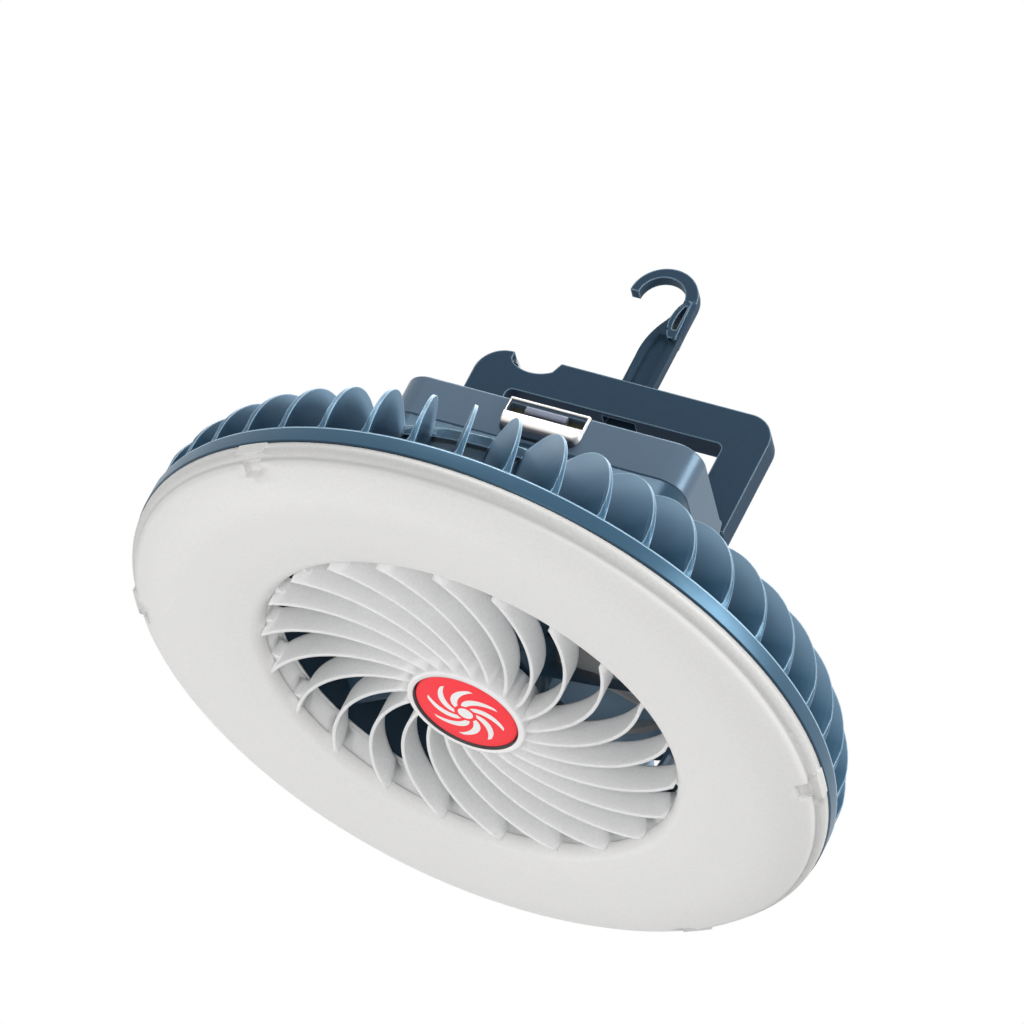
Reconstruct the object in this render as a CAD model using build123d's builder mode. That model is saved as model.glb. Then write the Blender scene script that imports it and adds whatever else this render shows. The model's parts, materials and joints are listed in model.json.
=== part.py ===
from build123d import *
from math import cos, hypot, radians, sin
import os

# Portable camping fan: a ring light with a fan blowing through its middle, a battery box on its
# back, and a flat bail with a pull-out hook to hang it from. Millimetres, +Z up, light side down.
# The origin is on the axis of the fan, in the plane that the light's face rests on.

# ---- driving dimensions -------------------------------------------------------------------------
DISC_R = 105.2                 # outside of the blue band
OPENING_R = 62.4               # mouth of the fan
WALL = 2.4                     # wall of the blue body and of the battery box
GAP = 0.3                      # clearance between pieces that move past each other
FIT = 0.05                     # radial clearance of a shaft or pin in its bore

# light
DIFFUSER_R = 104.8
DIFFUSER_WALL = 1.8
LAND_IN, LAND_OUT = 77.0, 85.0     # flat land that the light rests on
FACE_R, FACE_EDGE = 102.6, 5.7     # edge of the light's face, where it steps back to the lip
LIP_FRONT, LIP_BEND, DIFFUSER_REAR = 6.9, 9.0, 10.6
TONGUE_IN, TONGUE_OUT = 101.2, 102.8
MOUTH_SEAT = 4.9                   # the light's inner edge sits on the grille's ring here
LEG_IN, LEG_OUT = 64.2, 66.0
TAB_ANGLES = (0, 60, 180, -120)
TAB_WIDE, TAB_DEEP, TAB_FLOOR = 6.6, 2.8, 5.6      # notches in the face's edge
TAB_LUG_LONG, TAB_LUG_FRONT, TAB_LUG_R = 11.0, 7.4, 105.1
TRAY_FRONT, TRAY_REAR, TRAY_GAP = 13.6, 15.9, 0.3
BOARD_IN, BOARD_OUT, BOARD_THICK = 67.0, 99.0, 1.2
LED_RINGS = ((75.0, 30), (91.0, 36))
LED_LONG, LED_WIDE, LED_HIGH = 3.5, 2.8, 0.8

# duct and grille
DUCT_IN, DUCT_OUT, DUCT_REAR = 62.0, 63.8, 30.6
GRILLE_OUT, GRILLE_REAR = 64.0, 12.2
GRILLE_LIP, GRILLE_LIP_HIGH = 0.8, 0.6             # thin lip that stands inward at the ring's rear
VANE_COUNT = 22
VANE_PHASE = -121.5
VANE_THICK, VANE_FILLET = 1.0, 1.8
VANE_FRONT, VANE_REAR = 1.5, 10.2
HUB_R, HUB_BORE, HUB_FRONT, HUB_FLOOR = 17.8, 15.9, 0.6, 10.4
VANE_ROOT = (17.0, 45.5)           # radius and angle, ahead of the tip
VANE_MID = (38.0, 20.5)
VANE_TIP = (63.2, -4.1)

# centre button
BUTTON_R, BUTTON_FRONT, BUTTON_CROWN = 15.4, 1.1, 0.5

# fan
IMPELLER_FRONT, IMPELLER_REAR = 14.5, 27.0
IMPELLER_HUB_R, IMPELLER_TIP_R = 17.0, 59.0
BLADE_COUNT, BLADE_THICK = 7, 1.7
BLADE_ROOT_CHORD, BLADE_ROOT_PITCH = 15.0, 46.0
BLADE_TIP_CHORD, BLADE_TIP_PITCH = 27.0, 23.0
SHAFT_R, SHAFT_RELIEF = 1.5, 4.0   # the shaft's end turns in a plain hole of the deck
MOUNT_SCREWS, MOUNT_SCREW_PCR, MOUNT_SCREW_START = 4, 21.0, 22.5
MOTOR_R, MOTOR_FRONT = 14.8, 30.0
BUSH_R, BUSH_LONG = 3.0, 3.0

# body with its fins
BAND_FRONT, BAND_REAR = 10.9, 15.9
BAND_IN, BAND_EDGE = 103.0, 0.5
FIN_COUNT = 46
FIN_PHASE = 1.6
FIN_SWEEP = 18.0               # degrees by which a fin runs off the radius
FIN_LEAN = 5.4                 # degrees by which it leans over to one side
FIN_FOOT, FIN_CREST = 2.8, 1.7     # thickness at the band and at the top
FIN_REACH, FIN_RISE = 44.0, 28.3   # the outer edge is a quarter circle as high as the fin
FIN_CORNER = 6.0
FIN_SEAT, FIN_SETBACK = 1.4, 0.1   # a fin's foot on the band, and its step in from the rim
DECK_R, DECK_THICK, DECK_TOP = 71.0, 3.4, 44.9

# battery box
BOX_LONG, BOX_DEEP, BOX_CORNER = 91.0, 84.8, 8.0
PARTING_Z = 64.0
BOX_TOP = 77.2
SEAM = 0.4                     # chamfer on both sides of the parting line
LIP_THICK, LIP_HIGH = 1.5, 2.0
CELL_R, CELL_LONG, CELL_PITCH, CELL_COUNT = 9.2, 65.0, 18.8, 4
CELL_Z = 56.0
CRADLE_TOP = 52.0
PCB_Z, PCB_THICK = 67.4, 1.6
PCB_LONG, PCB_DEEP = 72.0, 56.0
TONGUE_LONG, TONGUE_EDGE = 34.0, 37.8      # tongues of the board toward both fitted walls
SCREW_X, SCREW_Y, SCREW_R, SCREW_HEAD_R, SCREW_LONG = 37.0, 34.0, 1.5, 2.9, 20.0
BOSS_R, BOSS_JOINT, BOSS_FLOOR = 4.0, 66.0, 2.0
PORT_LONG, PORT_HIGH, PORT_DEEP = 9.0, 3.3, 7.5
PORT_WALL, PORT_BACK, PORT_TONGUE = 0.35, 0.8, 1.4
SIGNAL_X, SIGNAL_R = 12.0, 1.2
WALL_FITTING_Z = PCB_Z + PCB_THICK + PORT_HIGH / 2     # height of the port and the charge light

# light slider in the near wall, in its bright scoop
SCOOP_X, SCOOP_LONG, SCOOP_LOW, SCOOP_CORNER = -0.5, 24.8, 65.0, 5.0
SCOOP_RIM, SCOOP_DRAFT = 0.7, 20.0     # width of the rim, and the slope of its sides
WINDOW_LOW, WINDOW_HIGH = 72.4, 75.8
WINDOW_LONG = SCOOP_LONG - 2 * SCOOP_RIM
SCOOP_PLATE, LIP_PROUD = 0.9, 2.6
SLIDER_LONG, SLIDER_LOW, SLIDER_HIGH, SLIDER_TRAVEL = 12.5, 73.0, 75.2, 3.8
SKIRT_LOW, SKIRT_HIGH, SKIRT_THICK = 71.2, 76.0, 1.3
SWITCH_LONG, SWITCH_HIGH, SWITCH_DEEP, SWITCH_GROOVE = 18.0, 4.8, 5.0, 1.6
TONGUE_SIDE, TONGUE_TALL, TONGUE_REACH = 2.4, 1.2, 2.4     # the slider's tongue in the switch
TONGUE_Z = SKIRT_LOW + 0.7

# bail and hook
BAIL_LONG, BAIL_TOP, BAIL_THICK, BAIL_CORNER = 91.0, 116.7, 7.4, 8.5
ARM_WIDE, CROSSBAR_HIGH = 12.2, 12.0
HINGE_Z = BOX_TOP + BAIL_THICK / 2 + GAP
HEEL = 7.9                     # the arms' heels reach below the hinge by this much
HEEL_WALL = 1.6                # wall of the hollows that the heels turn in
LUG_LONG, LUG_R = 6.2, 3.2
PIN_R, PIN_COVER = 1.5, 2.5    # hinge pins, and what the arms keep over their ends
HOOK_X, HOOK_WIDE, HOOK_THICK = 0.55, 9.4, 3.6
HOOK_RIM, HOOK_POCKET = 2.2, 1.1
HOOK_FOOT = BAIL_TOP - CROSSBAR_HIGH + 2.6
CURL_X, CURL_Z, CURL_OUT, CURL_IN, CURL_SHIFT = -4.85, 147.8, 10.1, 6.9, 0.6
BOSS_LEFT, BOSS_RIGHT, BOSS_LOW, BOSS_TOP, BOSS_THICK = 0.5, 4.9, 134.7, 148.3, 6.0
EYE_LEFT, EYE_RIGHT, EYE_LOW, EYE_TOP = 2.1, 3.9, 137.6, 146.2
HOOK_PIN_R, HOOK_PIN_Z = 1.0, BAIL_TOP - 4.0


def polar(radius, angle):
    return (radius * cos(radians(angle)), radius * sin(radians(angle)))


def ring(low, high, inner, outer):
    """Add a plain ring between two heights to the part that is being built."""
    with BuildSketch(Plane.XY.offset(low)) as section:
        Circle(outer)
        Circle(inner, mode=Mode.SUBTRACT)
    extrude(section.sketch, amount=high - low)


# ---- blue body: band, swept fins, rear deck and pedestal -----------------------------------------
# A fin is a flat plate. In its plane, the first axis runs inward and the second one up.
sweep_cos, sweep_sin = cos(radians(FIN_SWEEP)), sin(radians(FIN_SWEEP))
lean_cos, lean_sin = cos(radians(FIN_LEAN)), sin(radians(FIN_LEAN))
fin_root = (DISC_R, 0, BAND_REAR)
fin_inward = (-sweep_cos, -sweep_sin, 0)
fin_normal = (-sweep_sin * lean_cos, sweep_cos * lean_cos, lean_sin)
with BuildPart() as fin:
    with BuildSketch(Plane(origin=fin_root, x_dir=fin_inward, z_dir=fin_normal)):
        with BuildLine():
            outer_edge = CenterArc((FIN_RISE, 0), FIN_RISE, 180, -90)
            FilletPolyline(outer_edge @ 1, (FIN_REACH, FIN_RISE), (FIN_REACH, TRAY_GAP),
                           radius=FIN_CORNER)
            Polyline((FIN_REACH, TRAY_GAP), (FIN_SEAT, TRAY_GAP), (FIN_SEAT, -1), (0, -1), (0, 0))
        make_face()
    extrude(amount=FIN_FOOT, both=True)
    with BuildSketch(Plane(origin=fin_root, x_dir=fin_normal, z_dir=(sweep_cos, sweep_sin, 0))):
        with BuildLine():
            Polyline((-FIN_FOOT / 2, -2), (FIN_FOOT / 2, -2), (FIN_FOOT / 2, 0),
                     (FIN_CREST / 2, FIN_RISE + 1), (-FIN_CREST / 2, FIN_RISE + 1),
                     (-FIN_FOOT / 2, 0), (-FIN_FOOT / 2, -2))
        make_face()
    extrude(amount=-FIN_REACH - 1, mode=Mode.INTERSECT)
    with BuildSketch(Plane.XY):
        Circle(DISC_R - FIN_SETBACK)
    extrude(amount=DECK_TOP, mode=Mode.INTERSECT)

with BuildPart() as body_shell:
    ring(BAND_FRONT, BAND_REAR, BAND_IN, DISC_R)
    chamfer(edges().group_by(Axis.Z)[0].sort_by(SortBy.RADIUS)[-1], BAND_EDGE)
    with BuildSketch(Plane.XY.offset(DECK_TOP)):
        RectangleRounded(BOX_LONG, BOX_DEEP, BOX_CORNER)
    extrude(amount=PARTING_Z - DECK_TOP)
    chamfer(faces().sort_by(Axis.Z)[-1].outer_wire().edges(), SEAM)
    with BuildSketch(Plane.XY.offset(DECK_TOP - DECK_THICK)):
        Circle(DECK_R)
    extrude(amount=DECK_THICK)
    with PolarLocations(0, FIN_COUNT, start_angle=FIN_PHASE):
        add(fin.part)
    with BuildSketch(Plane.XY.offset(DECK_TOP)):
        RectangleRounded(BOX_LONG - 2 * WALL, BOX_DEEP - 2 * WALL, BOX_CORNER - WALL)
    extrude(amount=PARTING_Z, mode=Mode.SUBTRACT)
    with BuildSketch(Plane.XY.offset(PARTING_Z - LIP_HIGH)):
        RectangleRounded(BOX_LONG - 2 * WALL, BOX_DEEP - 2 * WALL, BOX_CORNER - WALL)
        RectangleRounded(BOX_LONG - 2 * (WALL + LIP_THICK), BOX_DEEP - 2 * (WALL + LIP_THICK),
                         BOX_CORNER - WALL - LIP_THICK, mode=Mode.SUBTRACT)
    extrude(amount=2 * LIP_HIGH)
    with BuildSketch(Plane.XY.offset(DECK_TOP)):
        with GridLocations(2 * SCREW_X, 2 * SCREW_Y, 2, 2):
            Circle(BOSS_R)
    extrude(amount=BOSS_JOINT - DECK_TOP)
    with BuildSketch(Plane.XY.offset(DECK_TOP + BOSS_FLOOR)):
        with GridLocations(2 * SCREW_X, 2 * SCREW_Y, 2, 2):
            Circle(SCREW_R)
    extrude(amount=BOSS_JOINT - DECK_TOP - BOSS_FLOOR, mode=Mode.SUBTRACT)
    with BuildSketch(Plane.XY.offset(DECK_TOP - DECK_THICK)):
        with PolarLocations(MOUNT_SCREW_PCR, MOUNT_SCREWS, start_angle=MOUNT_SCREW_START):
            Circle(SCREW_R)
        Circle(SHAFT_RELIEF)
    extrude(amount=DECK_THICK, mode=Mode.SUBTRACT)

# ---- light: diffuser, tray, board and LEDs --------------------------------------------------------
MOUTH_ROUND = (66.6, 1.0)          # end of the rounding of the light's inner edge
with BuildPart() as diffuser:
    with BuildSketch(Plane.XZ):
        with BuildLine():
            Line((OPENING_R, MOUTH_SEAT), (OPENING_R, MOUTH_SEAT - 0.3))
            ThreePointArc((OPENING_R, MOUTH_SEAT - 0.3), (63.6, 2.3), MOUTH_ROUND)
            TangentArc((LAND_IN, 0), MOUTH_ROUND, tangent=(-1, 0))
            Line((LAND_IN, 0), (LAND_OUT, 0))
            TangentArc((LAND_OUT, 0), (FACE_R, FACE_EDGE), tangent=(1, 0))
            Line((FACE_R, FACE_EDGE), (FACE_R, LIP_FRONT))
            ThreePointArc((FACE_R, LIP_FRONT), (104.1, 7.7), (DIFFUSER_R, LIP_BEND))
            Polyline((DIFFUSER_R, LIP_BEND), (DIFFUSER_R, DIFFUSER_REAR),
                     (TONGUE_OUT, DIFFUSER_REAR), (TONGUE_OUT, TRAY_FRONT),
                     (TONGUE_IN, TRAY_FRONT), (TONGUE_IN, 7.2))
            ThreePointArc((TONGUE_IN, 7.2), (93.2, 3.2), (LAND_OUT, DIFFUSER_WALL))
            Line((LAND_OUT, DIFFUSER_WALL), (LAND_IN, DIFFUSER_WALL))
            ThreePointArc((LAND_IN, DIFFUSER_WALL), (70.5, 2.5), (LEG_OUT, MOUTH_SEAT))
            Polyline((LEG_OUT, MOUTH_SEAT), (LEG_OUT, TRAY_FRONT), (LEG_IN, TRAY_FRONT),
                     (LEG_IN, MOUTH_SEAT), (OPENING_R, MOUTH_SEAT))
        make_face()
    revolve(axis=Axis.Z)
    with BuildSketch():
        for angle in TAB_ANGLES:
            with Locations(Location(polar(FACE_R - TAB_DEEP / 2, angle) + (0,), (0, 0, angle))):
                Rectangle(TAB_DEEP + 1, TAB_WIDE)
    extrude(amount=TAB_FLOOR, mode=Mode.SUBTRACT)
    with BuildSketch(Plane.XY.offset(TAB_LUG_FRONT)):
        for angle in TAB_ANGLES:
            with Locations(Location(polar(TAB_LUG_R, angle) + (0,), (0, 0, angle))):
                Rectangle(2 * (TAB_LUG_R - FACE_R - 1), TAB_LUG_LONG)
        Circle(TAB_LUG_R, mode=Mode.INTERSECT)
    extrude(amount=DIFFUSER_REAR - TAB_LUG_FRONT)

with BuildPart() as light_tray:
    ring(TRAY_FRONT, TRAY_REAR, DUCT_IN, TONGUE_OUT)
    ring(GRILLE_REAR, DUCT_REAR, DUCT_IN, DUCT_OUT)
    chamfer(edges().group_by(Axis.Z)[-1].sort_by(SortBy.RADIUS)[0], 1.0)

with BuildPart() as led_board:
    ring(TRAY_FRONT - BOARD_THICK, TRAY_FRONT, BOARD_IN, BOARD_OUT)

with BuildPart() as led_chips:
    with BuildSketch(Plane.XY.offset(TRAY_FRONT - BOARD_THICK - LED_HIGH)):
        for led_r, led_count in LED_RINGS:
            with PolarLocations(led_r, led_count):
                Rectangle(LED_LONG, LED_WIDE)
    extrude(amount=LED_HIGH)

# ---- front grille: curved vanes between the hub ring and the outer ring ---------------------------
with BuildSketch(Plane.XY) as vane:
    with BuildLine():
        ThreePointArc(polar(*VANE_ROOT), polar(*VANE_MID), polar(*VANE_TIP))
    trace(line_width=VANE_THICK)

BOLT_R = 2.2                       # hole on the axis through the hub's floor
with BuildPart() as front_grille:
    with BuildSketch(Plane.XY.offset(VANE_FRONT)):
        with PolarLocations(0, VANE_COUNT, start_angle=VANE_PHASE):
            add(vane.sketch)
        Circle(OPENING_R - 0.2, mode=Mode.INTERSECT)
    extrude(amount=MOUTH_SEAT - VANE_FRONT)
    with BuildSketch(Plane.XY.offset(MOUTH_SEAT)) as cage:
        Circle(GRILLE_OUT)
        Circle(OPENING_R, mode=Mode.SUBTRACT)
        with PolarLocations(0, VANE_COUNT, start_angle=VANE_PHASE):
            add(vane.sketch)
        tips = [corner for corner in cage.vertices()
                if abs(hypot(corner.X, corner.Y) - OPENING_R) < 0.01]
        fillet(tips, VANE_FILLET)
    extrude(amount=VANE_REAR - MOUTH_SEAT)
    ring(VANE_REAR, GRILLE_REAR, OPENING_R, GRILLE_OUT)
    ring(GRILLE_REAR - GRILLE_LIP_HIGH, GRILLE_REAR, OPENING_R - GRILLE_LIP, OPENING_R)
    ring(HUB_FRONT, HUB_FLOOR, HUB_BORE, HUB_R)
    ring(HUB_FLOOR, GRILLE_REAR, BOLT_R, HUB_R)
    fillet(edges().filter_by(GeomType.CIRCLE).group_by(Axis.Z)[0].sort_by(SortBy.RADIUS)[-1], 0.5)

# ---- centre button and its switch ----------------------------------------------------------------
BUTTON_REAR, BUTTON_SKIRT, SKIRT_WALL = 3.4, 6.0, 1.4
PRESSER_R, PRESSER_END = 2.2, 4.6      # the boss behind the dome that presses the switch
SWITCH_TOP, PLUNGER_R, PLUNGER_HIGH, SWITCH_SIDE = 5.9, 1.7, 0.8, 6.0
SWITCH_BOARD_R, SWITCH_BOARD_THICK = 13.5, 1.2
with BuildPart() as fan_button:
    with BuildSketch(Plane.XZ):
        with BuildLine():
            Line((1, BUTTON_FRONT - BUTTON_CROWN), (0, BUTTON_FRONT - BUTTON_CROWN))
            Polyline((0, BUTTON_FRONT - BUTTON_CROWN), (0, PRESSER_END),
                     (PRESSER_R, PRESSER_END), (PRESSER_R, BUTTON_REAR),
                     (BUTTON_R - SKIRT_WALL, BUTTON_REAR), (BUTTON_R - SKIRT_WALL, BUTTON_SKIRT),
                     (BUTTON_R, BUTTON_SKIRT), (BUTTON_R, BUTTON_FRONT + 0.4),
                     (BUTTON_R - 0.4, BUTTON_FRONT))
            TangentArc((1, BUTTON_FRONT - BUTTON_CROWN), (BUTTON_R - 0.4, BUTTON_FRONT),
                       tangent=(1, 0))
        make_face()
    revolve(axis=Axis.Z)

with BuildPart() as switch_board:
    ring(HUB_FLOOR - SWITCH_BOARD_THICK, HUB_FLOOR, BOLT_R, SWITCH_BOARD_R)
    with BuildSketch(Plane.XY.offset(SWITCH_TOP + PLUNGER_HIGH)):
        Rectangle(SWITCH_SIDE, SWITCH_SIDE)
    extrude(amount=HUB_FLOOR - SWITCH_BOARD_THICK - SWITCH_TOP - PLUNGER_HIGH)
    with BuildSketch(Plane.XY.offset(SWITCH_TOP)):
        Circle(PLUNGER_R)
    extrude(amount=PLUNGER_HIGH)

# ---- fan: impeller on the motor shaft -------------------------------------------------------------
BLADE_Z = (IMPELLER_FRONT + IMPELLER_REAR) / 2
CUP_WALL, CUP_FLOOR, CUP_BEND = 1.8, 2.2, 5.0
SLEEVE_R, SLEEVE_END = 3.6, 2.0
NUT_ACROSS, NUT_HIGH = 3.2, 1.7
with BuildPart() as blade:
    for station, chord, pitch, camber in (
            (IMPELLER_HUB_R - 1.0, BLADE_ROOT_CHORD, BLADE_ROOT_PITCH, 2.2),
            (IMPELLER_TIP_R + 6.0, BLADE_TIP_CHORD, BLADE_TIP_PITCH, 2.0)):
        with BuildSketch(Plane(origin=(station, 0, BLADE_Z), z_dir=(1, 0, 0),
                               x_dir=(0, cos(radians(pitch)), sin(radians(pitch))))):
            with BuildLine():
                ThreePointArc((-chord / 2, 0), (0, camber + BLADE_THICK / 2), (chord / 2, 0))
                ThreePointArc((chord / 2, 0), (0, camber - BLADE_THICK / 2), (-chord / 2, 0))
            make_face()
    loft()
    with BuildSketch(Plane.XY.offset(IMPELLER_FRONT + 0.4)):
        Circle(IMPELLER_TIP_R)
        Circle(IMPELLER_HUB_R - 0.8, mode=Mode.SUBTRACT)
    extrude(amount=IMPELLER_REAR - IMPELLER_FRONT - 0.8, mode=Mode.INTERSECT)

with BuildPart() as impeller:
    with BuildSketch(Plane.XZ):
        with BuildLine():
            Polyline((SHAFT_R, IMPELLER_FRONT), (12, IMPELLER_FRONT))
            ThreePointArc((12, IMPELLER_FRONT), (15.8, IMPELLER_FRONT + 1.5),
                          (IMPELLER_HUB_R, IMPELLER_FRONT + CUP_BEND))
            Polyline((IMPELLER_HUB_R, IMPELLER_FRONT + CUP_BEND), (IMPELLER_HUB_R, IMPELLER_REAR),
                     (IMPELLER_HUB_R - CUP_WALL, IMPELLER_REAR),
                     (IMPELLER_HUB_R - CUP_WALL, IMPELLER_FRONT + CUP_FLOOR),
                     (SLEEVE_R, IMPELLER_FRONT + CUP_FLOOR),
                     (SLEEVE_R, IMPELLER_REAR - SLEEVE_END), (SHAFT_R, IMPELLER_REAR - SLEEVE_END),
                     (SHAFT_R, IMPELLER_FRONT))
        make_face()
    revolve(axis=Axis.Z)
    with PolarLocations(0, BLADE_COUNT):
        add(blade.part)

with BuildPart() as impeller_nut:
    with BuildSketch(Plane.XY.offset(IMPELLER_FRONT - NUT_HIGH)):
        RegularPolygon(NUT_ACROSS, 6)
        Circle(SHAFT_R, mode=Mode.SUBTRACT)
    extrude(amount=NUT_HIGH)

with BuildPart() as motor_shaft:
    with BuildSketch(Plane.XY.offset(IMPELLER_FRONT - NUT_HIGH)):
        Circle(SHAFT_R)
    extrude(amount=DECK_TOP - DECK_THICK - IMPELLER_FRONT + 0.6)

# ---- motor and its carrier ------------------------------------------------------------------------
DECK_UNDER = DECK_TOP - DECK_THICK
MOTOR_REAR = DECK_UNDER - 1.4
NOSE_R, NOSE_HIGH = 5.0, 1.2
VENT_PCR, VENT_COUNT, VENT_LONG, VENT_WIDE, VENT_DEEP = 9.5, 6, 4.6, 2.4, 2.5
with BuildPart() as motor_can:
    ring(MOTOR_FRONT, MOTOR_REAR, BUSH_R, MOTOR_R)
    ring(MOTOR_FRONT - NOSE_HIGH, MOTOR_FRONT, BUSH_R, NOSE_R)
    fillet(edges().group_by(Axis.Z)[2].sort_by(SortBy.RADIUS)[-1], 1.2)
    with BuildSketch(Plane.XY.offset(MOTOR_FRONT)):
        with PolarLocations(VENT_PCR, VENT_COUNT):
            SlotOverall(VENT_LONG, VENT_WIDE, rotation=90)
    extrude(amount=VENT_DEEP, mode=Mode.SUBTRACT)

with BuildPart() as motor_bearings:
    ring(MOTOR_FRONT - NOSE_HIGH, MOTOR_FRONT - NOSE_HIGH + BUSH_LONG, SHAFT_R + FIT, BUSH_R)
    ring(MOTOR_REAR - BUSH_LONG, MOTOR_REAR, SHAFT_R + FIT, BUSH_R)

CARRIER_R, CARRIER_HIGH = 56.0, 2.6
SOCKET_WALL, FLANGE_R, FLANGE_THICK = 2.0, 27.0, 2.0
MOUNT_RIBS, RIB_THICK = 8, 1.6
MOUNT_HEAD = 1.8                       # height of the mount screws' heads
with BuildPart() as mount_rib:
    with BuildSketch(Plane.XZ):
        with BuildLine():
            Polyline((MOTOR_R + 1.0, MOTOR_FRONT + 2.5), (MOTOR_R + 1.0, DECK_UNDER),
                     (CARRIER_R - 1.0, DECK_UNDER), (CARRIER_R - 1.0, DECK_UNDER - CARRIER_HIGH),
                     (MOTOR_R + 1.0, MOTOR_FRONT + 2.5))
        make_face()
    extrude(amount=RIB_THICK / 2, both=True)

with BuildPart() as motor_mount:
    ring(MOTOR_FRONT + 1.5, DECK_UNDER, MOTOR_R, MOTOR_R + SOCKET_WALL)
    ring(DECK_UNDER - FLANGE_THICK, DECK_UNDER, MOTOR_R, FLANGE_R)
    ring(MOTOR_REAR, DECK_UNDER, SLEEVE_R, MOTOR_R)
    ring(DECK_UNDER - CARRIER_HIGH, DECK_UNDER, CARRIER_R - 2.0, CARRIER_R)
    with PolarLocations(0, MOUNT_RIBS):
        add(mount_rib.part)
    with BuildSketch(Plane.XY.offset(DECK_UNDER - FLANGE_THICK)):
        with PolarLocations(MOUNT_SCREW_PCR, MOUNT_SCREWS, start_angle=MOUNT_SCREW_START):
            Circle(SCREW_R)
    extrude(amount=FLANGE_THICK, mode=Mode.SUBTRACT)

with BuildPart() as motor_screws:
    with BuildSketch(Plane.XY.offset(DECK_UNDER - FLANGE_THICK)):
        with PolarLocations(MOUNT_SCREW_PCR, MOUNT_SCREWS, start_angle=MOUNT_SCREW_START):
            Circle(SCREW_R)
    extrude(amount=FLANGE_THICK + DECK_THICK)
    with BuildSketch(Plane.XY.offset(DECK_UNDER - FLANGE_THICK - MOUNT_HEAD)):
        with PolarLocations(MOUNT_SCREW_PCR, MOUNT_SCREWS, start_angle=MOUNT_SCREW_START):
            Circle(SCREW_HEAD_R)
    extrude(amount=MOUNT_HEAD)

# ---- power: cells, cradle, straps, board, port, lights -------------------------------------------
CRADLE_LOW = DECK_TOP
TERMINAL_R, TERMINAL_HIGH = 3.0, 1.0
STRAP_WIDE, STRAP_THICK = 5.0, 0.6
cell_ys = [CELL_PITCH * (i - (CELL_COUNT - 1) / 2) for i in range(CELL_COUNT)]
with BuildPart() as battery_cells:
    with BuildSketch(Plane.YZ.offset(-CELL_LONG / 2)):
        with Locations(*[(y, CELL_Z) for y in cell_ys]):
            Circle(CELL_R)
    extrude(amount=CELL_LONG - TERMINAL_HIGH)
    with BuildSketch(Plane.YZ.offset(CELL_LONG / 2 - TERMINAL_HIGH)):
        with Locations(*[(y, CELL_Z) for y in cell_ys]):
            Circle(TERMINAL_R)
    extrude(amount=TERMINAL_HIGH)

with BuildPart() as cell_cradle:
    with BuildSketch(Plane.XY.offset(CRADLE_LOW)):
        Rectangle(CELL_LONG + 10, CELL_PITCH * CELL_COUNT + 1)
    extrude(amount=CRADLE_TOP - CRADLE_LOW)
    with BuildSketch(Plane.YZ.offset(-CELL_LONG / 2 - 0.8)):
        with Locations(*[(y, CELL_Z) for y in cell_ys]):
            Circle(CELL_R + 0.1)
    extrude(amount=CELL_LONG + 1.6, mode=Mode.SUBTRACT)
    with BuildSketch(Plane.XY.offset(CRADLE_TOP - 2)):
        with GridLocations(CELL_LONG + 4.8, PCB_DEEP - 8, 2, 2):
            Circle(1.6)
    extrude(amount=PCB_Z - CRADLE_TOP + 2)
    with BuildSketch(Plane.XY.offset(CRADLE_LOW)):
        with GridLocations(2 * SCREW_X, 2 * SCREW_Y, 2, 2):
            Circle(BOSS_R + 0.2)
    extrude(amount=CRADLE_TOP - CRADLE_LOW, mode=Mode.SUBTRACT)

with BuildPart() as cell_straps:
    with BuildSketch(Plane.XY.offset(CELL_Z - STRAP_WIDE / 2)):
        with GridLocations(CELL_LONG + STRAP_THICK, 2 * CELL_PITCH, 2, 2):
            Rectangle(STRAP_THICK, CELL_PITCH + 7)
    extrude(amount=STRAP_WIDE)

with BuildPart() as control_board:
    with BuildSketch(Plane.XY.offset(PCB_Z)):
        Rectangle(PCB_LONG, PCB_DEEP)
        Rectangle(TONGUE_LONG, 2 * TONGUE_EDGE)
    extrude(amount=PCB_THICK)
    with BuildSketch(Plane.XY.offset(PCB_Z + PCB_THICK)):
        with Locations((-18, 6), (4, -14)):
            Rectangle(9, 9)
        with Locations((22, 4)):
            Circle(5)
        with Locations((SIGNAL_X, BOX_DEEP / 2 - 7.2)):
            Rectangle(2.4, 2.4)
    extrude(amount=3.0)

PORT_Y = BOX_DEEP / 2
with BuildPart() as usb_c_port:
    with BuildSketch(Plane.XZ.offset(-PORT_Y + 0.4)):
        with Locations((0, WALL_FITTING_Z)):
            SlotOverall(PORT_LONG, PORT_HIGH)
            SlotOverall(PORT_LONG - 2 * PORT_WALL, PORT_HIGH - 2 * PORT_WALL, mode=Mode.SUBTRACT)
    extrude(amount=PORT_DEEP)
    with BuildSketch(Plane.XZ.offset(-PORT_Y + PORT_DEEP)):
        with Locations((0, WALL_FITTING_Z)):
            SlotOverall(PORT_LONG, PORT_HIGH)
    extrude(amount=PORT_BACK)
    with BuildSketch(Plane.XZ.offset(-PORT_Y + PORT_TONGUE)):
        with Locations((0, WALL_FITTING_Z)):
            Rectangle(6.2, 0.7)
    extrude(amount=PORT_DEEP - PORT_TONGUE)

with BuildPart() as charge_light:
    with BuildSketch(Plane.XZ.offset(-PORT_Y)):
        with Locations((SIGNAL_X, WALL_FITTING_Z)):
            Circle(SIGNAL_R)
    extrude(amount=6)

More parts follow.
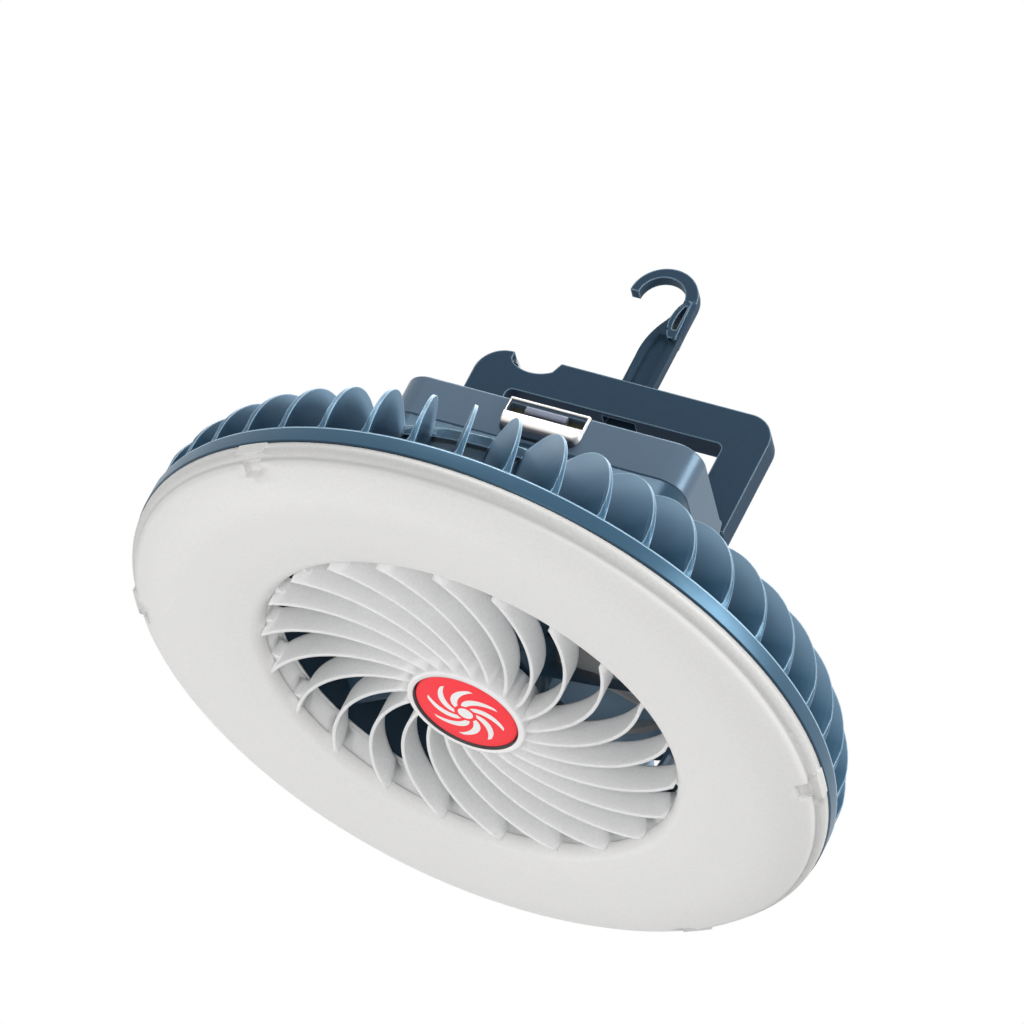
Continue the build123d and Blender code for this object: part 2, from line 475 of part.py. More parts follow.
# ---- battery cover with its hinge lugs ------------------------------------------------------------
SKIRT_LONG = WINDOW_LONG + 2 * SLIDER_TRAVEL + 2
POCKET_DEEP = 4.0
HEEL_X = BAIL_LONG / 2 - ARM_WIDE - GAP
LUG_X = HEEL_X - LUG_LONG / 2
with BuildPart() as battery_cover:
    with BuildSketch(Plane.XY.offset(PARTING_Z)):
        RectangleRounded(BOX_LONG, BOX_DEEP, BOX_CORNER)
    extrude(amount=BOX_TOP - PARTING_Z)
    chamfer(faces().sort_by(Axis.Z)[0].edges(), SEAM)
    fillet(faces().sort_by(Axis.Z)[-1].edges(), 0.7)
    with BuildSketch(Plane.XY.offset(PARTING_Z)):
        RectangleRounded(BOX_LONG - 2 * WALL, BOX_DEEP - 2 * WALL, BOX_CORNER - WALL)
    extrude(amount=BOX_TOP - PARTING_Z - WALL, mode=Mode.SUBTRACT)
    for side in (-1, 1):
        with BuildSketch(Plane.YZ.offset(side * (HEEL_X - HEEL_WALL))):
            with Locations((0, HINGE_Z)):
                Circle(HEEL + GAP + HEEL_WALL)
            with Locations((0, BOX_TOP)):
                Rectangle(4 * HEEL, 2 * HEEL, align=(Align.CENTER, Align.MAX), mode=Mode.INTERSECT)
        extrude(amount=side * (BOX_LONG / 2 - HEEL_X + HEEL_WALL))
        with BuildSketch(Plane.YZ.offset(side * HEEL_X)):
            with Locations((0, HINGE_Z)):
                Circle(HEEL + GAP)
        extrude(amount=side * (BOX_LONG / 2 - HEEL_X), mode=Mode.SUBTRACT)
    for lug_x in (-LUG_X, LUG_X):
        with BuildSketch(Plane.YZ.offset(lug_x - LUG_LONG / 2)):
            with Locations((0, HINGE_Z)):
                Circle(LUG_R)
            with Locations((0, (HINGE_Z + BOX_TOP - 1) / 2)):
                Rectangle(2 * LUG_R, HINGE_Z - BOX_TOP + 1)
        extrude(amount=LUG_LONG)
    with BuildSketch(Plane.YZ):
        with Locations((0, HINGE_Z)):
            Circle(PIN_R + FIT)
    extrude(amount=BOX_LONG / 2, both=True, mode=Mode.SUBTRACT)
    with BuildSketch(Plane.XY.offset(BOSS_JOINT)):
        with GridLocations(2 * SCREW_X, 2 * SCREW_Y, 2, 2):
            Circle(BOSS_R)
    extrude(amount=BOX_TOP - WALL - BOSS_JOINT)
    with Locations(Plane.XY.offset(BOX_TOP)):
        with GridLocations(2 * SCREW_X, 2 * SCREW_Y, 2, 2):
            CounterSinkHole(SCREW_R, SCREW_HEAD_R)
    with BuildSketch(Plane.XZ.offset(-PORT_Y)):
        with Locations((0, WALL_FITTING_Z)):
            SlotOverall(PORT_LONG, PORT_HIGH)
        with Locations((SIGNAL_X, WALL_FITTING_Z)):
            Circle(SIGNAL_R)
    extrude(amount=WALL, mode=Mode.SUBTRACT)
    with BuildSketch(Plane.XZ.offset(PORT_Y - WALL)):
        with Locations((SCOOP_X, (WINDOW_LOW + WINDOW_HIGH) / 2)):
            Rectangle(WINDOW_LONG, WINDOW_HIGH - WINDOW_LOW)
    extrude(amount=WALL, mode=Mode.SUBTRACT)
    with BuildSketch(Plane.XZ.offset(PORT_Y - WALL - POCKET_DEEP)):
        with Locations((SCOOP_X, (PCB_Z + SKIRT_HIGH + GAP) / 2)):
            Rectangle(SKIRT_LONG + 2 * SLIDER_TRAVEL + 1, SKIRT_HIGH + GAP - PCB_Z)
    extrude(amount=POCKET_DEEP, mode=Mode.SUBTRACT)

HEAD_HIGH = 1.6
with BuildPart() as cover_screws:
    with BuildSketch(Plane.XY.offset(BOX_TOP - SCREW_LONG)):
        with GridLocations(2 * SCREW_X, 2 * SCREW_Y, 2, 2):
            Circle(SCREW_R)
    extrude(amount=SCREW_LONG - 0.2)
    with Locations(Plane.XY.offset(BOX_TOP - 0.2)):
        with GridLocations(2 * SCREW_X, 2 * SCREW_Y, 2, 2):
            Cone(SCREW_R, SCREW_HEAD_R - 0.2, HEAD_HIGH - 0.2,
                 align=(Align.CENTER, Align.CENTER, Align.MAX))

# ---- light slider in its scoop --------------------------------------------------------------------
scoop_left, scoop_right = SCOOP_X - SCOOP_LONG / 2, SCOOP_X + SCOOP_LONG / 2
plate_y, proud_y = -PORT_Y - SCOOP_PLATE, -PORT_Y - LIP_PROUD
LIP_LOW, LIP_TOP = 67.6, 71.1          # the lip's upright front
with BuildPart() as slider_scoop:
    with BuildSketch(Plane.YZ.offset(scoop_left)):
        with BuildLine():
            Polyline((-PORT_Y, BOX_TOP), (plate_y, BOX_TOP), (plate_y, WINDOW_LOW),
                     (proud_y, LIP_TOP), (proud_y, LIP_LOW))
            ThreePointArc((proud_y, LIP_LOW), (-PORT_Y - 1.7, SCOOP_LOW + 1.05),
                          (-PORT_Y - 0.3, SCOOP_LOW))
            Polyline((-PORT_Y - 0.3, SCOOP_LOW), (-PORT_Y, SCOOP_LOW), (-PORT_Y, BOX_TOP))
        make_face()
    extrude(amount=SCOOP_LONG)
    with BuildSketch(Plane.XZ.offset(PORT_Y)):
        with BuildLine():
            FilletPolyline((scoop_left, 2 * BOX_TOP), (scoop_left, SCOOP_LOW),
                           (scoop_right, SCOOP_LOW), (scoop_right, 2 * BOX_TOP),
                           radius=SCOOP_CORNER)
            Line((scoop_right, 2 * BOX_TOP), (scoop_left, 2 * BOX_TOP))
        make_face()
    extrude(amount=LIP_PROUD + 1, taper=SCOOP_DRAFT, mode=Mode.INTERSECT)
    with BuildSketch(Plane.XZ.offset(PORT_Y)):
        with Locations((SCOOP_X, (WINDOW_LOW + BOX_TOP - SCOOP_RIM) / 2)):
            Rectangle(WINDOW_LONG, BOX_TOP - SCOOP_RIM - WINDOW_LOW)
    extrude(amount=LIP_PROUD + 1, mode=Mode.SUBTRACT)

SLIDER_MID = (SLIDER_LOW + SLIDER_HIGH) / 2
SKIRT_Y = PORT_Y - WALL - 0.1
with BuildPart() as light_slider:
    with BuildSketch(Plane.XZ.offset(SKIRT_Y)):
        with Locations((SCOOP_X, SLIDER_MID)):
            Rectangle(SLIDER_LONG, SLIDER_HIGH - SLIDER_LOW)
    extrude(amount=WALL + SCOOP_PLATE + 0.6)
    fillet(edges().group_by(Axis.Y)[0].filter_by(Axis.X), 0.6)
    with BuildSketch(Plane.XZ.offset(SKIRT_Y - SKIRT_THICK)):
        with Locations((SCOOP_X, (SKIRT_LOW + SKIRT_HIGH) / 2)):
            Rectangle(SKIRT_LONG, SKIRT_HIGH - SKIRT_LOW)
    extrude(amount=SKIRT_THICK)
    with BuildSketch(Plane.XZ.offset(SKIRT_Y - SKIRT_THICK - TONGUE_REACH)):
        with Locations((SCOOP_X, TONGUE_Z)):
            Rectangle(TONGUE_SIDE, TONGUE_TALL)
    extrude(amount=TONGUE_REACH)

SWITCH_Y = SKIRT_Y - SKIRT_THICK - 0.9
with BuildPart() as slide_switch:
    with BuildSketch(Plane.XZ.offset(SWITCH_Y - SWITCH_DEEP)):
        with Locations((SCOOP_X, PCB_Z + PCB_THICK + SWITCH_HIGH / 2)):
            Rectangle(SWITCH_LONG, SWITCH_HIGH)
    extrude(amount=SWITCH_DEEP)
    with BuildSketch(Plane.XZ.offset(SWITCH_Y - SWITCH_GROOVE)):
        with Locations((SCOOP_X, TONGUE_Z)):
            Rectangle(TONGUE_SIDE + 2 * SLIDER_TRAVEL + 2 * GAP, TONGUE_TALL + 2 * GAP)
    extrude(amount=SWITCH_GROOVE, mode=Mode.SUBTRACT)

# ---- bail with its bottle opener ------------------------------------------------------------------
BAIL_HALF = BAIL_LONG / 2
BAIL_UNDER = BAIL_TOP - CROSSBAR_HIGH
NOTCH_LEFT, NOTCH_RIGHT, NOTCH_FLOOR = -36.5, -22.0, 111.4
HEEL_Z = HINGE_Z - HEEL + BAIL_THICK / 2       # centre of the arms' rounded ends
TOOTH_HALF = 1.4
inner_half = BAIL_HALF - ARM_WIDE
with BuildPart() as bail_frame:
    with BuildSketch(Plane.XZ):
        with BuildLine():
            FilletPolyline((-BAIL_HALF, HEEL_Z), (-BAIL_HALF, BAIL_TOP), (BAIL_HALF, BAIL_TOP),
                           (BAIL_HALF, HEEL_Z), radius=BAIL_CORNER)
            FilletPolyline((-inner_half, HEEL_Z), (-inner_half, BAIL_UNDER),
                           (inner_half, BAIL_UNDER), (inner_half, HEEL_Z), radius=2.0)
            Line((-BAIL_HALF, HEEL_Z), (-inner_half, HEEL_Z))
            Line((BAIL_HALF, HEEL_Z), (inner_half, HEEL_Z))
        make_face()
        with BuildLine():
            Polyline((NOTCH_LEFT, BAIL_TOP + 1), (NOTCH_LEFT, 114.6), (NOTCH_LEFT + 1.0, 113.2))
            ThreePointArc((NOTCH_LEFT + 1.0, 113.2), (-29.3, NOTCH_FLOOR), (-23.4, 113.3))
            Polyline((-23.4, 113.3), (NOTCH_RIGHT, BAIL_TOP), (NOTCH_RIGHT, BAIL_TOP + 1),
                     (NOTCH_LEFT, BAIL_TOP + 1))
        make_face(mode=Mode.SUBTRACT)
    extrude(amount=BAIL_THICK / 2, both=True)
    for side in (-1, 1):
        with BuildSketch(Plane.YZ.offset(side * inner_half)):
            with Locations((0, HEEL_Z)):
                Circle(BAIL_THICK / 2)
        extrude(amount=side * ARM_WIDE)
    with BuildSketch(Plane.YZ):
        with Locations((0, HINGE_Z)):
            Circle(PIN_R)
    extrude(amount=BAIL_HALF - PIN_COVER, both=True, mode=Mode.SUBTRACT)
    with BuildSketch(Plane.XY.offset(BAIL_UNDER)):
        with Locations((HOOK_X, 0)):
            Rectangle(HOOK_WIDE + 2 * GAP, HOOK_THICK + 2 * GAP)
    extrude(amount=CROSSBAR_HIGH, mode=Mode.SUBTRACT)
    with BuildSketch(Plane.XZ.offset(-BAIL_THICK / 2)):
        with Locations((HOOK_X, HOOK_PIN_Z)):
            Circle(HOOK_PIN_R)
    extrude(amount=BAIL_THICK / 2, mode=Mode.SUBTRACT)
    with BuildSketch(Plane.XZ):
        with Locations((NOTCH_LEFT - 1.5, 115.4)):
            Rectangle(3.0, 1.6)
    extrude(amount=TOOTH_HALF, both=True, mode=Mode.SUBTRACT)

with BuildPart() as opener_tooth:
    with BuildSketch(Plane.XZ):
        with BuildLine():
            Polyline((NOTCH_LEFT - 3.0, 114.6), (NOTCH_LEFT - 3.0, 116.2), (NOTCH_LEFT, 116.2),
                     (NOTCH_LEFT + 1.4, 115.4), (NOTCH_LEFT + 1.4, 114.6),
                     (NOTCH_LEFT - 3.0, 114.6))
        make_face()
    extrude(amount=TOOTH_HALF, both=True)

PIN_START = HEEL_X - LUG_LONG + 0.5
with BuildPart() as bail_pins:
    with BuildSketch(Plane.YZ.offset(PIN_START)):
        with Locations((0, HINGE_Z)):
            Circle(PIN_R)
    extrude(amount=BAIL_HALF - PIN_COVER - PIN_START)
    mirror(about=Plane.YZ)

# ---- hook -----------------------------------------------------------------------------------------
HOOK_LEFT, HOOK_RIGHT = HOOK_X - HOOK_WIDE / 2, HOOK_X + HOOK_WIDE / 2
NECK_X = CURL_X - CURL_SHIFT + CURL_IN
BOSS_IN = 0.9
POCKET_LOW = HOOK_PIN_Z - HOOK_PIN_R - GAP     # the peg stops the arm here when it is drawn out
pocket_left, pocket_right = HOOK_LEFT + HOOK_RIM, HOOK_RIGHT - HOOK_RIM
arm_bend = ((HOOK_LEFT, 127.0), (-3.4, 134.6), (-0.7, 140.9))
with BuildPart() as hook_arm:
    with BuildSketch(Plane.XZ):
        with BuildLine():
            Polyline((HOOK_LEFT, 127.0), (HOOK_LEFT, HOOK_FOOT), (HOOK_RIGHT, HOOK_FOOT),
                     (HOOK_RIGHT, BOSS_LOW + 2), (BOSS_IN, BOSS_LOW + 2), (BOSS_IN, 144.4),
                     (-0.7, 140.9))
            ThreePointArc(*arm_bend)
        make_face()
    extrude(amount=HOOK_THICK / 2, both=True)
    for pocket_side in (-1, 1):
        with BuildSketch(Plane.XZ.offset(pocket_side * (HOOK_THICK / 2 - HOOK_POCKET))):
            with BuildLine():
                Polyline((pocket_left, 127.0), (pocket_left, POCKET_LOW),
                         (pocket_right, POCKET_LOW), (pocket_right, BOSS_LOW - 0.8),
                         (pocket_right - 2.2, BOSS_LOW + 1.2), (-0.6, BOSS_LOW + 1.2))
                ThreePointArc((-0.6, BOSS_LOW + 1.2), (-1.5, 132.0), (pocket_left, 127.0))
            make_face()
        extrude(amount=pocket_side * HOOK_POCKET, mode=Mode.SUBTRACT)

with BuildPart() as hook_curl:
    with BuildSketch(Plane.XZ):
        with BuildLine():
            CenterArc((CURL_X, CURL_Z), CURL_OUT, 0, 180)
            Line((CURL_X - CURL_OUT, CURL_Z), (CURL_X - CURL_SHIFT - CURL_IN, CURL_Z))
            CenterArc((CURL_X - CURL_SHIFT, CURL_Z), CURL_IN, 0, 180)
            Polyline((NECK_X, CURL_Z), (BOSS_IN, 144.4), (BOSS_IN, BOSS_LOW + 2),
                     (HOOK_RIGHT, BOSS_LOW + 2), (CURL_X + CURL_OUT, CURL_Z))
        make_face()
    extrude(amount=HOOK_THICK / 2, both=True)
    for boss_side in (-1, 1):
        with BuildSketch(Plane.XZ.offset(boss_side * HOOK_THICK / 2)) as boss:
            with BuildLine():
                ThreePointArc((3.0, BOSS_TOP), (BOSS_LEFT, 140.8), (2.4, BOSS_LOW))
                Polyline((2.4, BOSS_LOW), (BOSS_RIGHT, BOSS_LOW), (BOSS_RIGHT - 0.5, BOSS_TOP),
                         (3.0, BOSS_TOP))
            make_face()
            fillet(boss.vertices(), 0.6)
        extrude(amount=boss_side * (BOSS_THICK - HOOK_THICK) / 2)
    with BuildSketch(Plane.XZ) as eye:
        with BuildLine():
            ThreePointArc((3.1, EYE_TOP), (EYE_LEFT, 141.4), (2.5, EYE_LOW))
            Polyline((2.5, EYE_LOW), (EYE_RIGHT, EYE_LOW), (EYE_RIGHT, EYE_TOP), (3.1, EYE_TOP))
        make_face()
        fillet(eye.vertices(), 0.3)
    extrude(amount=BOSS_THICK, both=True, mode=Mode.SUBTRACT)

with BuildPart() as hook_pin:
    with BuildSketch(Plane.XZ.offset(-BAIL_THICK / 2)):
        with Locations((HOOK_X, HOOK_PIN_Z)):
            Circle(HOOK_PIN_R)
    extrude(amount=BAIL_THICK / 2 - (HOOK_THICK / 2 - HOOK_POCKET + GAP))

# ---- write each piece -----------------------------------------------------------------------------
pieces = {
    "body_shell": body_shell, "diffuser": diffuser, "light_tray": light_tray,
    "led_board": led_board, "led_chips": led_chips, "front_grille": front_grille,
    "fan_button": fan_button, "switch_board": switch_board, "impeller": impeller,
    "impeller_nut": impeller_nut, "motor_shaft": motor_shaft, "motor_can": motor_can,
    "motor_bearings": motor_bearings, "motor_mount": motor_mount, "motor_screws": motor_screws,
    "battery_cells": battery_cells, "cell_cradle": cell_cradle, "cell_straps": cell_straps,
    "control_board": control_board, "usb_c_port": usb_c_port, "charge_light": charge_light,
    "battery_cover": battery_cover, "cover_screws": cover_screws, "slider_scoop": slider_scoop,
    "light_slider": light_slider, "slide_switch": slide_switch, "bail_frame": bail_frame,
    "opener_tooth": opener_tooth, "bail_pins": bail_pins, "hook_arm": hook_arm,
    "hook_curl": hook_curl, "hook_pin": hook_pin,
}
os.makedirs("parts", exist_ok=True)
for name, piece in pieces.items():
    piece.part.label = name
    export_step(piece.part, f"parts/{name}.step")
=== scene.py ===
"""Looks of a portable camping fan: satin blue body, frosted ring light, grille, bail and hook."""

import json
from math import cos, pi, radians, sin

import bmesh
import bpy
from bpy.props import FloatProperty, FloatVectorProperty, IntProperty, PointerProperty
from mathutils import Matrix, Vector
from mathutils.bvhtree import BVHTree


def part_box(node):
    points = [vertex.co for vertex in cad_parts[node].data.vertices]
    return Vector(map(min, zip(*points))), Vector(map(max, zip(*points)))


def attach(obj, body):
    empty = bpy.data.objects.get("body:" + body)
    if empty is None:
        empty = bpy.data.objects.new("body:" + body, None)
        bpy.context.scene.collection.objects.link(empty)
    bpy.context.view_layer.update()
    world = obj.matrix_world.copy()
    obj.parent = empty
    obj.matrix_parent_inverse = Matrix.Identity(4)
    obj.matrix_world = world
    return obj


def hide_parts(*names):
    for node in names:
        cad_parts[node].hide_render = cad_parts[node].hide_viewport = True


bl_info = {
    "name": "Camping fan dresser",
    "version": (1, 0, 0),
    "blender": (4, 5, 0),
    "location": "3D View > Sidebar > Camping fan",
    "description": "Models the visible pieces of a portable camping fan and finishes them",
    "category": "Add Mesh",
}

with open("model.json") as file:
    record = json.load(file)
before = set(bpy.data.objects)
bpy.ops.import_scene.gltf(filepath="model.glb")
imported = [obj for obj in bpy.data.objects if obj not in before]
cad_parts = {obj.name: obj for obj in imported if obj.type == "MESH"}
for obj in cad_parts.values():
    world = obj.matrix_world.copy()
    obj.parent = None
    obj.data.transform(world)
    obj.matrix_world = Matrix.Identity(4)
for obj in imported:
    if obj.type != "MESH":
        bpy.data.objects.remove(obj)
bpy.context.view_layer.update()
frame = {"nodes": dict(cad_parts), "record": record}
MM = 0.001
SLOT_OF = {entry["node"]: entry["material_slot"] for entry in frame["record"]["subparts"]}
BODY_OF = {node: body for body, members in frame["record"]["behaviour"]["bodies"].items()
           for node in members}


# ---- settings ----------------------------------------------------------------------------
class FanSizes(bpy.types.PropertyGroup):
    """Sizes of the pieces that are shaped here"""
    fin_count: IntProperty(name="Fins", description="Fins round the body", default=46, min=3)
    fin_phase: FloatProperty(name="Fin phase", description="Angle of one fin", subtype="ANGLE",
                             default=radians(1.6))
    fin_sweep: FloatProperty(name="Fin sweep", description="Angle that a fin runs off the radius",
                             subtype="ANGLE", default=radians(18))
    fin_lean: FloatProperty(name="Fin lean", description="Angle that a fin leans over to one side",
                            subtype="ANGLE", default=radians(5.4))
    fin_foot: FloatProperty(name="Fin foot", description="Height at which the fins stand",
                            unit="LENGTH", default=15.9 * MM)
    fin_rise: FloatProperty(name="Fin rise", description="Height of the fins", unit="LENGTH",
                            default=28.3 * MM)
    fin_reach: FloatProperty(name="Fin reach", description="Length of a fin, inward from the rim",
                             unit="LENGTH", default=44.0 * MM)
    foot_slim: FloatProperty(name="Foot slimming", description="Share kept at a fin's foot",
                             default=0.72, min=0.3, max=1)
    crest_slim: FloatProperty(name="Crest slimming", description="Share kept at a fin's crest",
                              default=0.48, min=0.3, max=1)
    deck_radius: FloatProperty(name="Deck radius", description="Of the deck under the battery box",
                               unit="LENGTH", default=71.0 * MM)
    skin_depth: FloatProperty(name="Skin depth", description="Of the band's outer skin",
                              unit="LENGTH", default=0.8 * MM)
    band_bevel: FloatProperty(name="Band bevel", description="On both edges of the band",
                              unit="LENGTH", default=0.45 * MM)
    notch_long: FloatProperty(name="Notch length", description="Of a notch in the light's edge",
                              unit="LENGTH", default=6.6 * MM)
    face_edge: FloatProperty(name="Face edge", description="Radius of the light's face",
                             unit="LENGTH", default=102.6 * MM)
    edge_round: FloatProperty(name="Edge round", description="Rounding that moulded edges show",
                              unit="LENGTH", default=0.30 * MM)
    grille_turn: FloatProperty(name="Grille turn", description="Of the grille in its round seat",
                               subtype="ANGLE", default=radians(3.0))
    swirl_strokes: IntProperty(name="Swirl strokes", description="Strokes printed on the button",
                               default=8, min=2)
    swirl_inner: FloatProperty(name="Swirl start", description="Radius where the strokes start",
                               unit="LENGTH", default=3.4 * MM)
    swirl_outer: FloatProperty(name="Swirl end", description="Radius where the strokes end",
                               unit="LENGTH", default=11.6 * MM)
    swirl_sweep: FloatProperty(name="Swirl sweep", description="Angle that a stroke turns through",
                               subtype="ANGLE", default=radians(62))
    swirl_width: FloatProperty(name="Stroke width", description="At its widest", unit="LENGTH",
                               default=2.9 * MM)
    swirl_disc: FloatProperty(name="Swirl disc", description="Radius of the disc in the middle",
                              unit="LENGTH", default=2.3 * MM)
    print_thickness: FloatProperty(name="Print thickness", description="Of the button's print",
                                   unit="LENGTH", default=0.05 * MM)


class FanColours(bpy.types.PropertyGroup):
    """Main colours of the outside"""
    body_blue: FloatVectorProperty(name="Body blue", description="Band and pedestal",
                                   subtype="COLOR", default=(0.024, 0.062, 0.104))
    fin_blue: FloatVectorProperty(name="Fin blue", description="Lower part of the fins",
                                  subtype="COLOR", default=(0.044, 0.103, 0.167))
    # Painted light: paler upper part of the fins, and paler still on the deck's face.
    painted_light_grey: FloatVectorProperty(name="Fin grey", description="Upper part of the fins",
                                  subtype="COLOR", default=(0.225, 0.345, 0.460))
    frame_navy: FloatVectorProperty(name="Frame navy", description="Bail and hook",
                                    subtype="COLOR", default=(0.027, 0.052, 0.084))
    cover_grey: FloatVectorProperty(name="Cover grey", description="Battery cover",
                                    subtype="COLOR", default=(0.100, 0.145, 0.200))
    light_white: FloatVectorProperty(name="Light white", description="Frosted ring",
                                     subtype="COLOR", default=(0.77, 0.765, 0.755))
    grille_face: FloatVectorProperty(name="Grille face", description="Sides of the vanes",
                                     subtype="COLOR", default=(0.95, 0.945, 0.935))
    # Painted highlight: the vanes' front edges are a little paler than their sides.
    grille_edge_highlight: FloatVectorProperty(name="Grille edge", description="Front edges of the vanes",
                                     subtype="COLOR", default=(0.96, 0.96, 0.95))
    button_red: FloatVectorProperty(name="Button red", description="Centre button",
                                    subtype="COLOR", default=(1.0, 0.040, 0.055))


class FanStudio(bpy.types.PropertyGroup):
    """Camera, floor and even light"""
    view_azimuth: FloatProperty(name="Azimuth", description="Of the camera, from -Y toward +X",
                                subtype="ANGLE", default=radians(24.75))
    view_elevation: FloatProperty(name="Elevation", description="Of the camera", subtype="ANGLE",
                                  default=radians(-29.53))
    view_roll: FloatProperty(name="Roll", description="Of the camera", subtype="ANGLE",
                             default=radians(27.8))
    view_distance: FloatProperty(name="Distance", description="From the camera to the target",
                                 unit="LENGTH", default=5.1004)
    view_target: FloatVectorProperty(name="Target", description="Point in the middle of the frame",
                                     subtype="TRANSLATION", default=(-0.0020, -0.0304, 0.0488))
    view_lens: FloatProperty(name="Lens", description="Focal length in millimetres", default=650.2)
    floor_drop: FloatProperty(name="Floor drop", description="How far the floor is below the fan",
                              unit="LENGTH", default=3.2)
    ambient: FloatProperty(name="Ambient", description="Strength of the even light", default=0.50)


# ---- fixed values ------------------------------------------------------------------------
# Fins, beside the sizes above.
FIN_ROOT = 0.05 * MM      # lowest part of a fin, which keeps its thickness
FIN_OVER = 0.3 * MM       # room above the crest's height that still belongs to a fin
FIN_HALF = 1.7 * MM       # farthest that a fin reaches from its middle plane
FIN_SLIM_RISE = 0.35      # share of the rise over which the slimming grows to its full
FIN_RIM_GAP = 0.1 * MM    # kept between the fins and the rim
LEVEL_NORMAL = 0.9999     # Z of the normal from which a face counts as level

# Skin of the band.
SKIN_STEP = 0.08 * MM     # how far the body's outer face is set back under the skin
SKIN_LAP = SKIN_STEP / 4  # how far the skin stands past the band's front and rear face
SKIN_GAP = 0.01 * MM      # kept between the skin and the widest line of the CAD body
SKIN_SEGMENTS = 288       # round the fan
BEVEL_SEGMENTS = 4        # in the bevel of the rear edge

# Notches in the light's edge: angles in degrees, and the section that is cut out of each, as
# radius past the face's edge and height.
NOTCH_ANGLES = (0, 60, 180, -120)
NOTCH_SECTION = ((-2.9 * MM, 4.9 * MM), (-2.9 * MM, 5.65 * MM), (-1.6 * MM, 6.2 * MM),
                 (-0.4 * MM, 6.85 * MM), (0.5 * MM, 6.85 * MM), (0.5 * MM, 4.9 * MM))

# Strokes of the swirl on the button.
STROKE_END = 0.12         # share of a half wave that is left off at each end of a stroke
STROKE_FULLNESS = 0.7     # power of the wave, lower for fuller ends
STROKE_GRID = (16, 4)     # faces along and across a stroke
DISC_SEGMENTS = 40        # round the disc in the middle

# Colours that go with the main ones.
GAP_SHADE = (0.045, 0.035, 0.040)   # painted shade inside the narrow gap round the button
BAND_FRONT_SHADE = (0.012, 0.018, 0.028)  # painted shade on the front edge of the band, beside the light
BLUE_GLOSS = (0.38, 0.72, 1.0)     # tint of the blue paint's reflections
COVER_GLOSS = (0.5, 0.8, 1.0)      # tint of the battery cover's reflections
EDGE_HIGHLIGHT = (0.42, 0.60, 0.74)     # painted highlight colour along moulded blue edges
SLIDER_SLOT_SHADE = (0.13, 0.12, 0.075)  # painted shade on the slider inside the battery cover's wall
SLIDER_PALE = (0.20, 0.22, 0.29)   # front of the slider
SCOOP_DARK_REFLECTION = (0.10, 0.10, 0.11)    # painted dark reflection on the lowest part of the scoop
SCOOP_BRIGHT = (0.66, 0.64, 0.62)  # rest of the scoop

# Where one colour turns into the next, as start and end of the change from the line named.
FIN_LIGHT_FADE = (7.0 * MM, -4.0 * MM)    # painted light, fins paler toward their crest: start from their foot, end from their crest
DECK_RIM_SHADE = (2.0 * MM, -0.5 * MM)    # painted shade round the deck's rim: from its radius
DECK_FACE_LIGHT = (-2.0 * MM, -3.0 * MM)  # painted light on the deck's face: from its radius
PEDESTAL = (0.5 * MM, 1.0 * MM)     # pedestal under the battery box: from the fins' crest
BAND_FRONT = (0.25 * MM, 0.4 * MM)  # blue of the band: from its front edge
BAND_REAR = (-0.5 * MM, -0.4 * MM)  # painted highlight on the band's rear edge: from the fins' foot
SLIDER_FACE = (0.2 * MM, 0.0)       # pale front of the slider, in front of its painted shade: from the battery cover's wall
SCOOP_WALL = (2.2 * MM, 3.2 * MM)   # bright part of the scoop, above its painted dark reflection: from its lowest point
LIGHT_LIP = (5.6 * MM, 6.6 * MM)    # lip of the light: from its face
BUTTON_GAP = (0.5 * MM, 0.7 * MM)   # end of the painted shade in the gap: from the button's radius
VANE_SIDE = (-0.75, -0.25)          # sides of the vanes, away from the painted highlight on their front edges: Z of their normal

BEVEL_SAMPLES = 6           # of each point's surroundings, for edges that look rounded
HIGHLIGHT_COSINE = (0.98, 0.86)  # likeness of plain and rounded normal, from no painted edge highlight to full
HIGHLIGHT_WIDTH = 2.5            # width of the painted highlight on moulded edges, in roundings
FROST_HIGHLIGHT = (1.4, 0.8)     # width in roundings and strength of the painted edge highlight on the frosted light
PLASTIC_DRIFT = 0.05        # how far roughness drifts to each side on moulded pieces
METAL_DRIFT = 0.08          # and on drawn metal
LINE_STRETCH = (1.0, 1.0, 12.0)  # of the fine lines in drawn metal

# Inner pieces of drawn metal: finish, colour, roughness.
DRAWN_METALS = (
    ("motor_steel", (0.62, 0.60, 0.58), 0.24),
    ("shaft_steel", (0.66, 0.66, 0.67), 0.20),
    ("bush_bronze", (0.55, 0.38, 0.20), 0.40),
    ("screw_steel", (0.55, 0.55, 0.56), 0.30),
    ("nickel", (0.66, 0.64, 0.60), 0.28),
    ("tooth_steel", (0.60, 0.61, 0.63), 0.25),
)

FLOOR_RADIUS = 9.0          # metres
FLOOR_SEGMENTS = 96
# Lamps: name, place in metres, width of the disc, watts.
LAMPS = (
    ("right_softbox", (2.10, -0.45, 1.10), 1.1, 41.0),
    ("low_softbox", (-1.35, 0.95, -1.80), 1.4, 14.0),
    ("front_softbox", (0.45, -1.65, -1.45), 1.4, 16.5),
    ("high_softbox", (-0.45, -1.05, 2.00), 1.3, 30.0),
    ("back_softbox", (-0.80, 1.10, 1.90), 1.6, 12.0),
)


# ---- shader nodes ------------------------------------------------------------------------
def fill(tree, node, inputs):
    """Fills a node's inputs: a socket is linked, any other value is set on the input itself."""
    for key, value in inputs.items():
        if isinstance(value, bpy.types.NodeSocket):
            tree.links.new(value, node.inputs[key])
        else:
            node.inputs[key].default_value = value


def new_node(tree, kind, inputs, **settings):
    """A node of a kind, with its settings made and its inputs filled."""
    node = tree.nodes.new(kind)
    for key, value in settings.items():
        setattr(node, key, value)
    fill(tree, node, inputs)
    return node


def new_finish(name):
    """The node tree and the shader of the material with this name."""
    material = bpy.data.materials.get(name) or bpy.data.materials.new(name)
    material.use_nodes = True
    tree = material.node_tree
    return tree, tree.nodes["Principled BSDF"]


def own(tree, output):
    """The piece's own coordinates, or its normal in them."""
    return tree.nodes.new("ShaderNodeTexCoord").outputs[output]


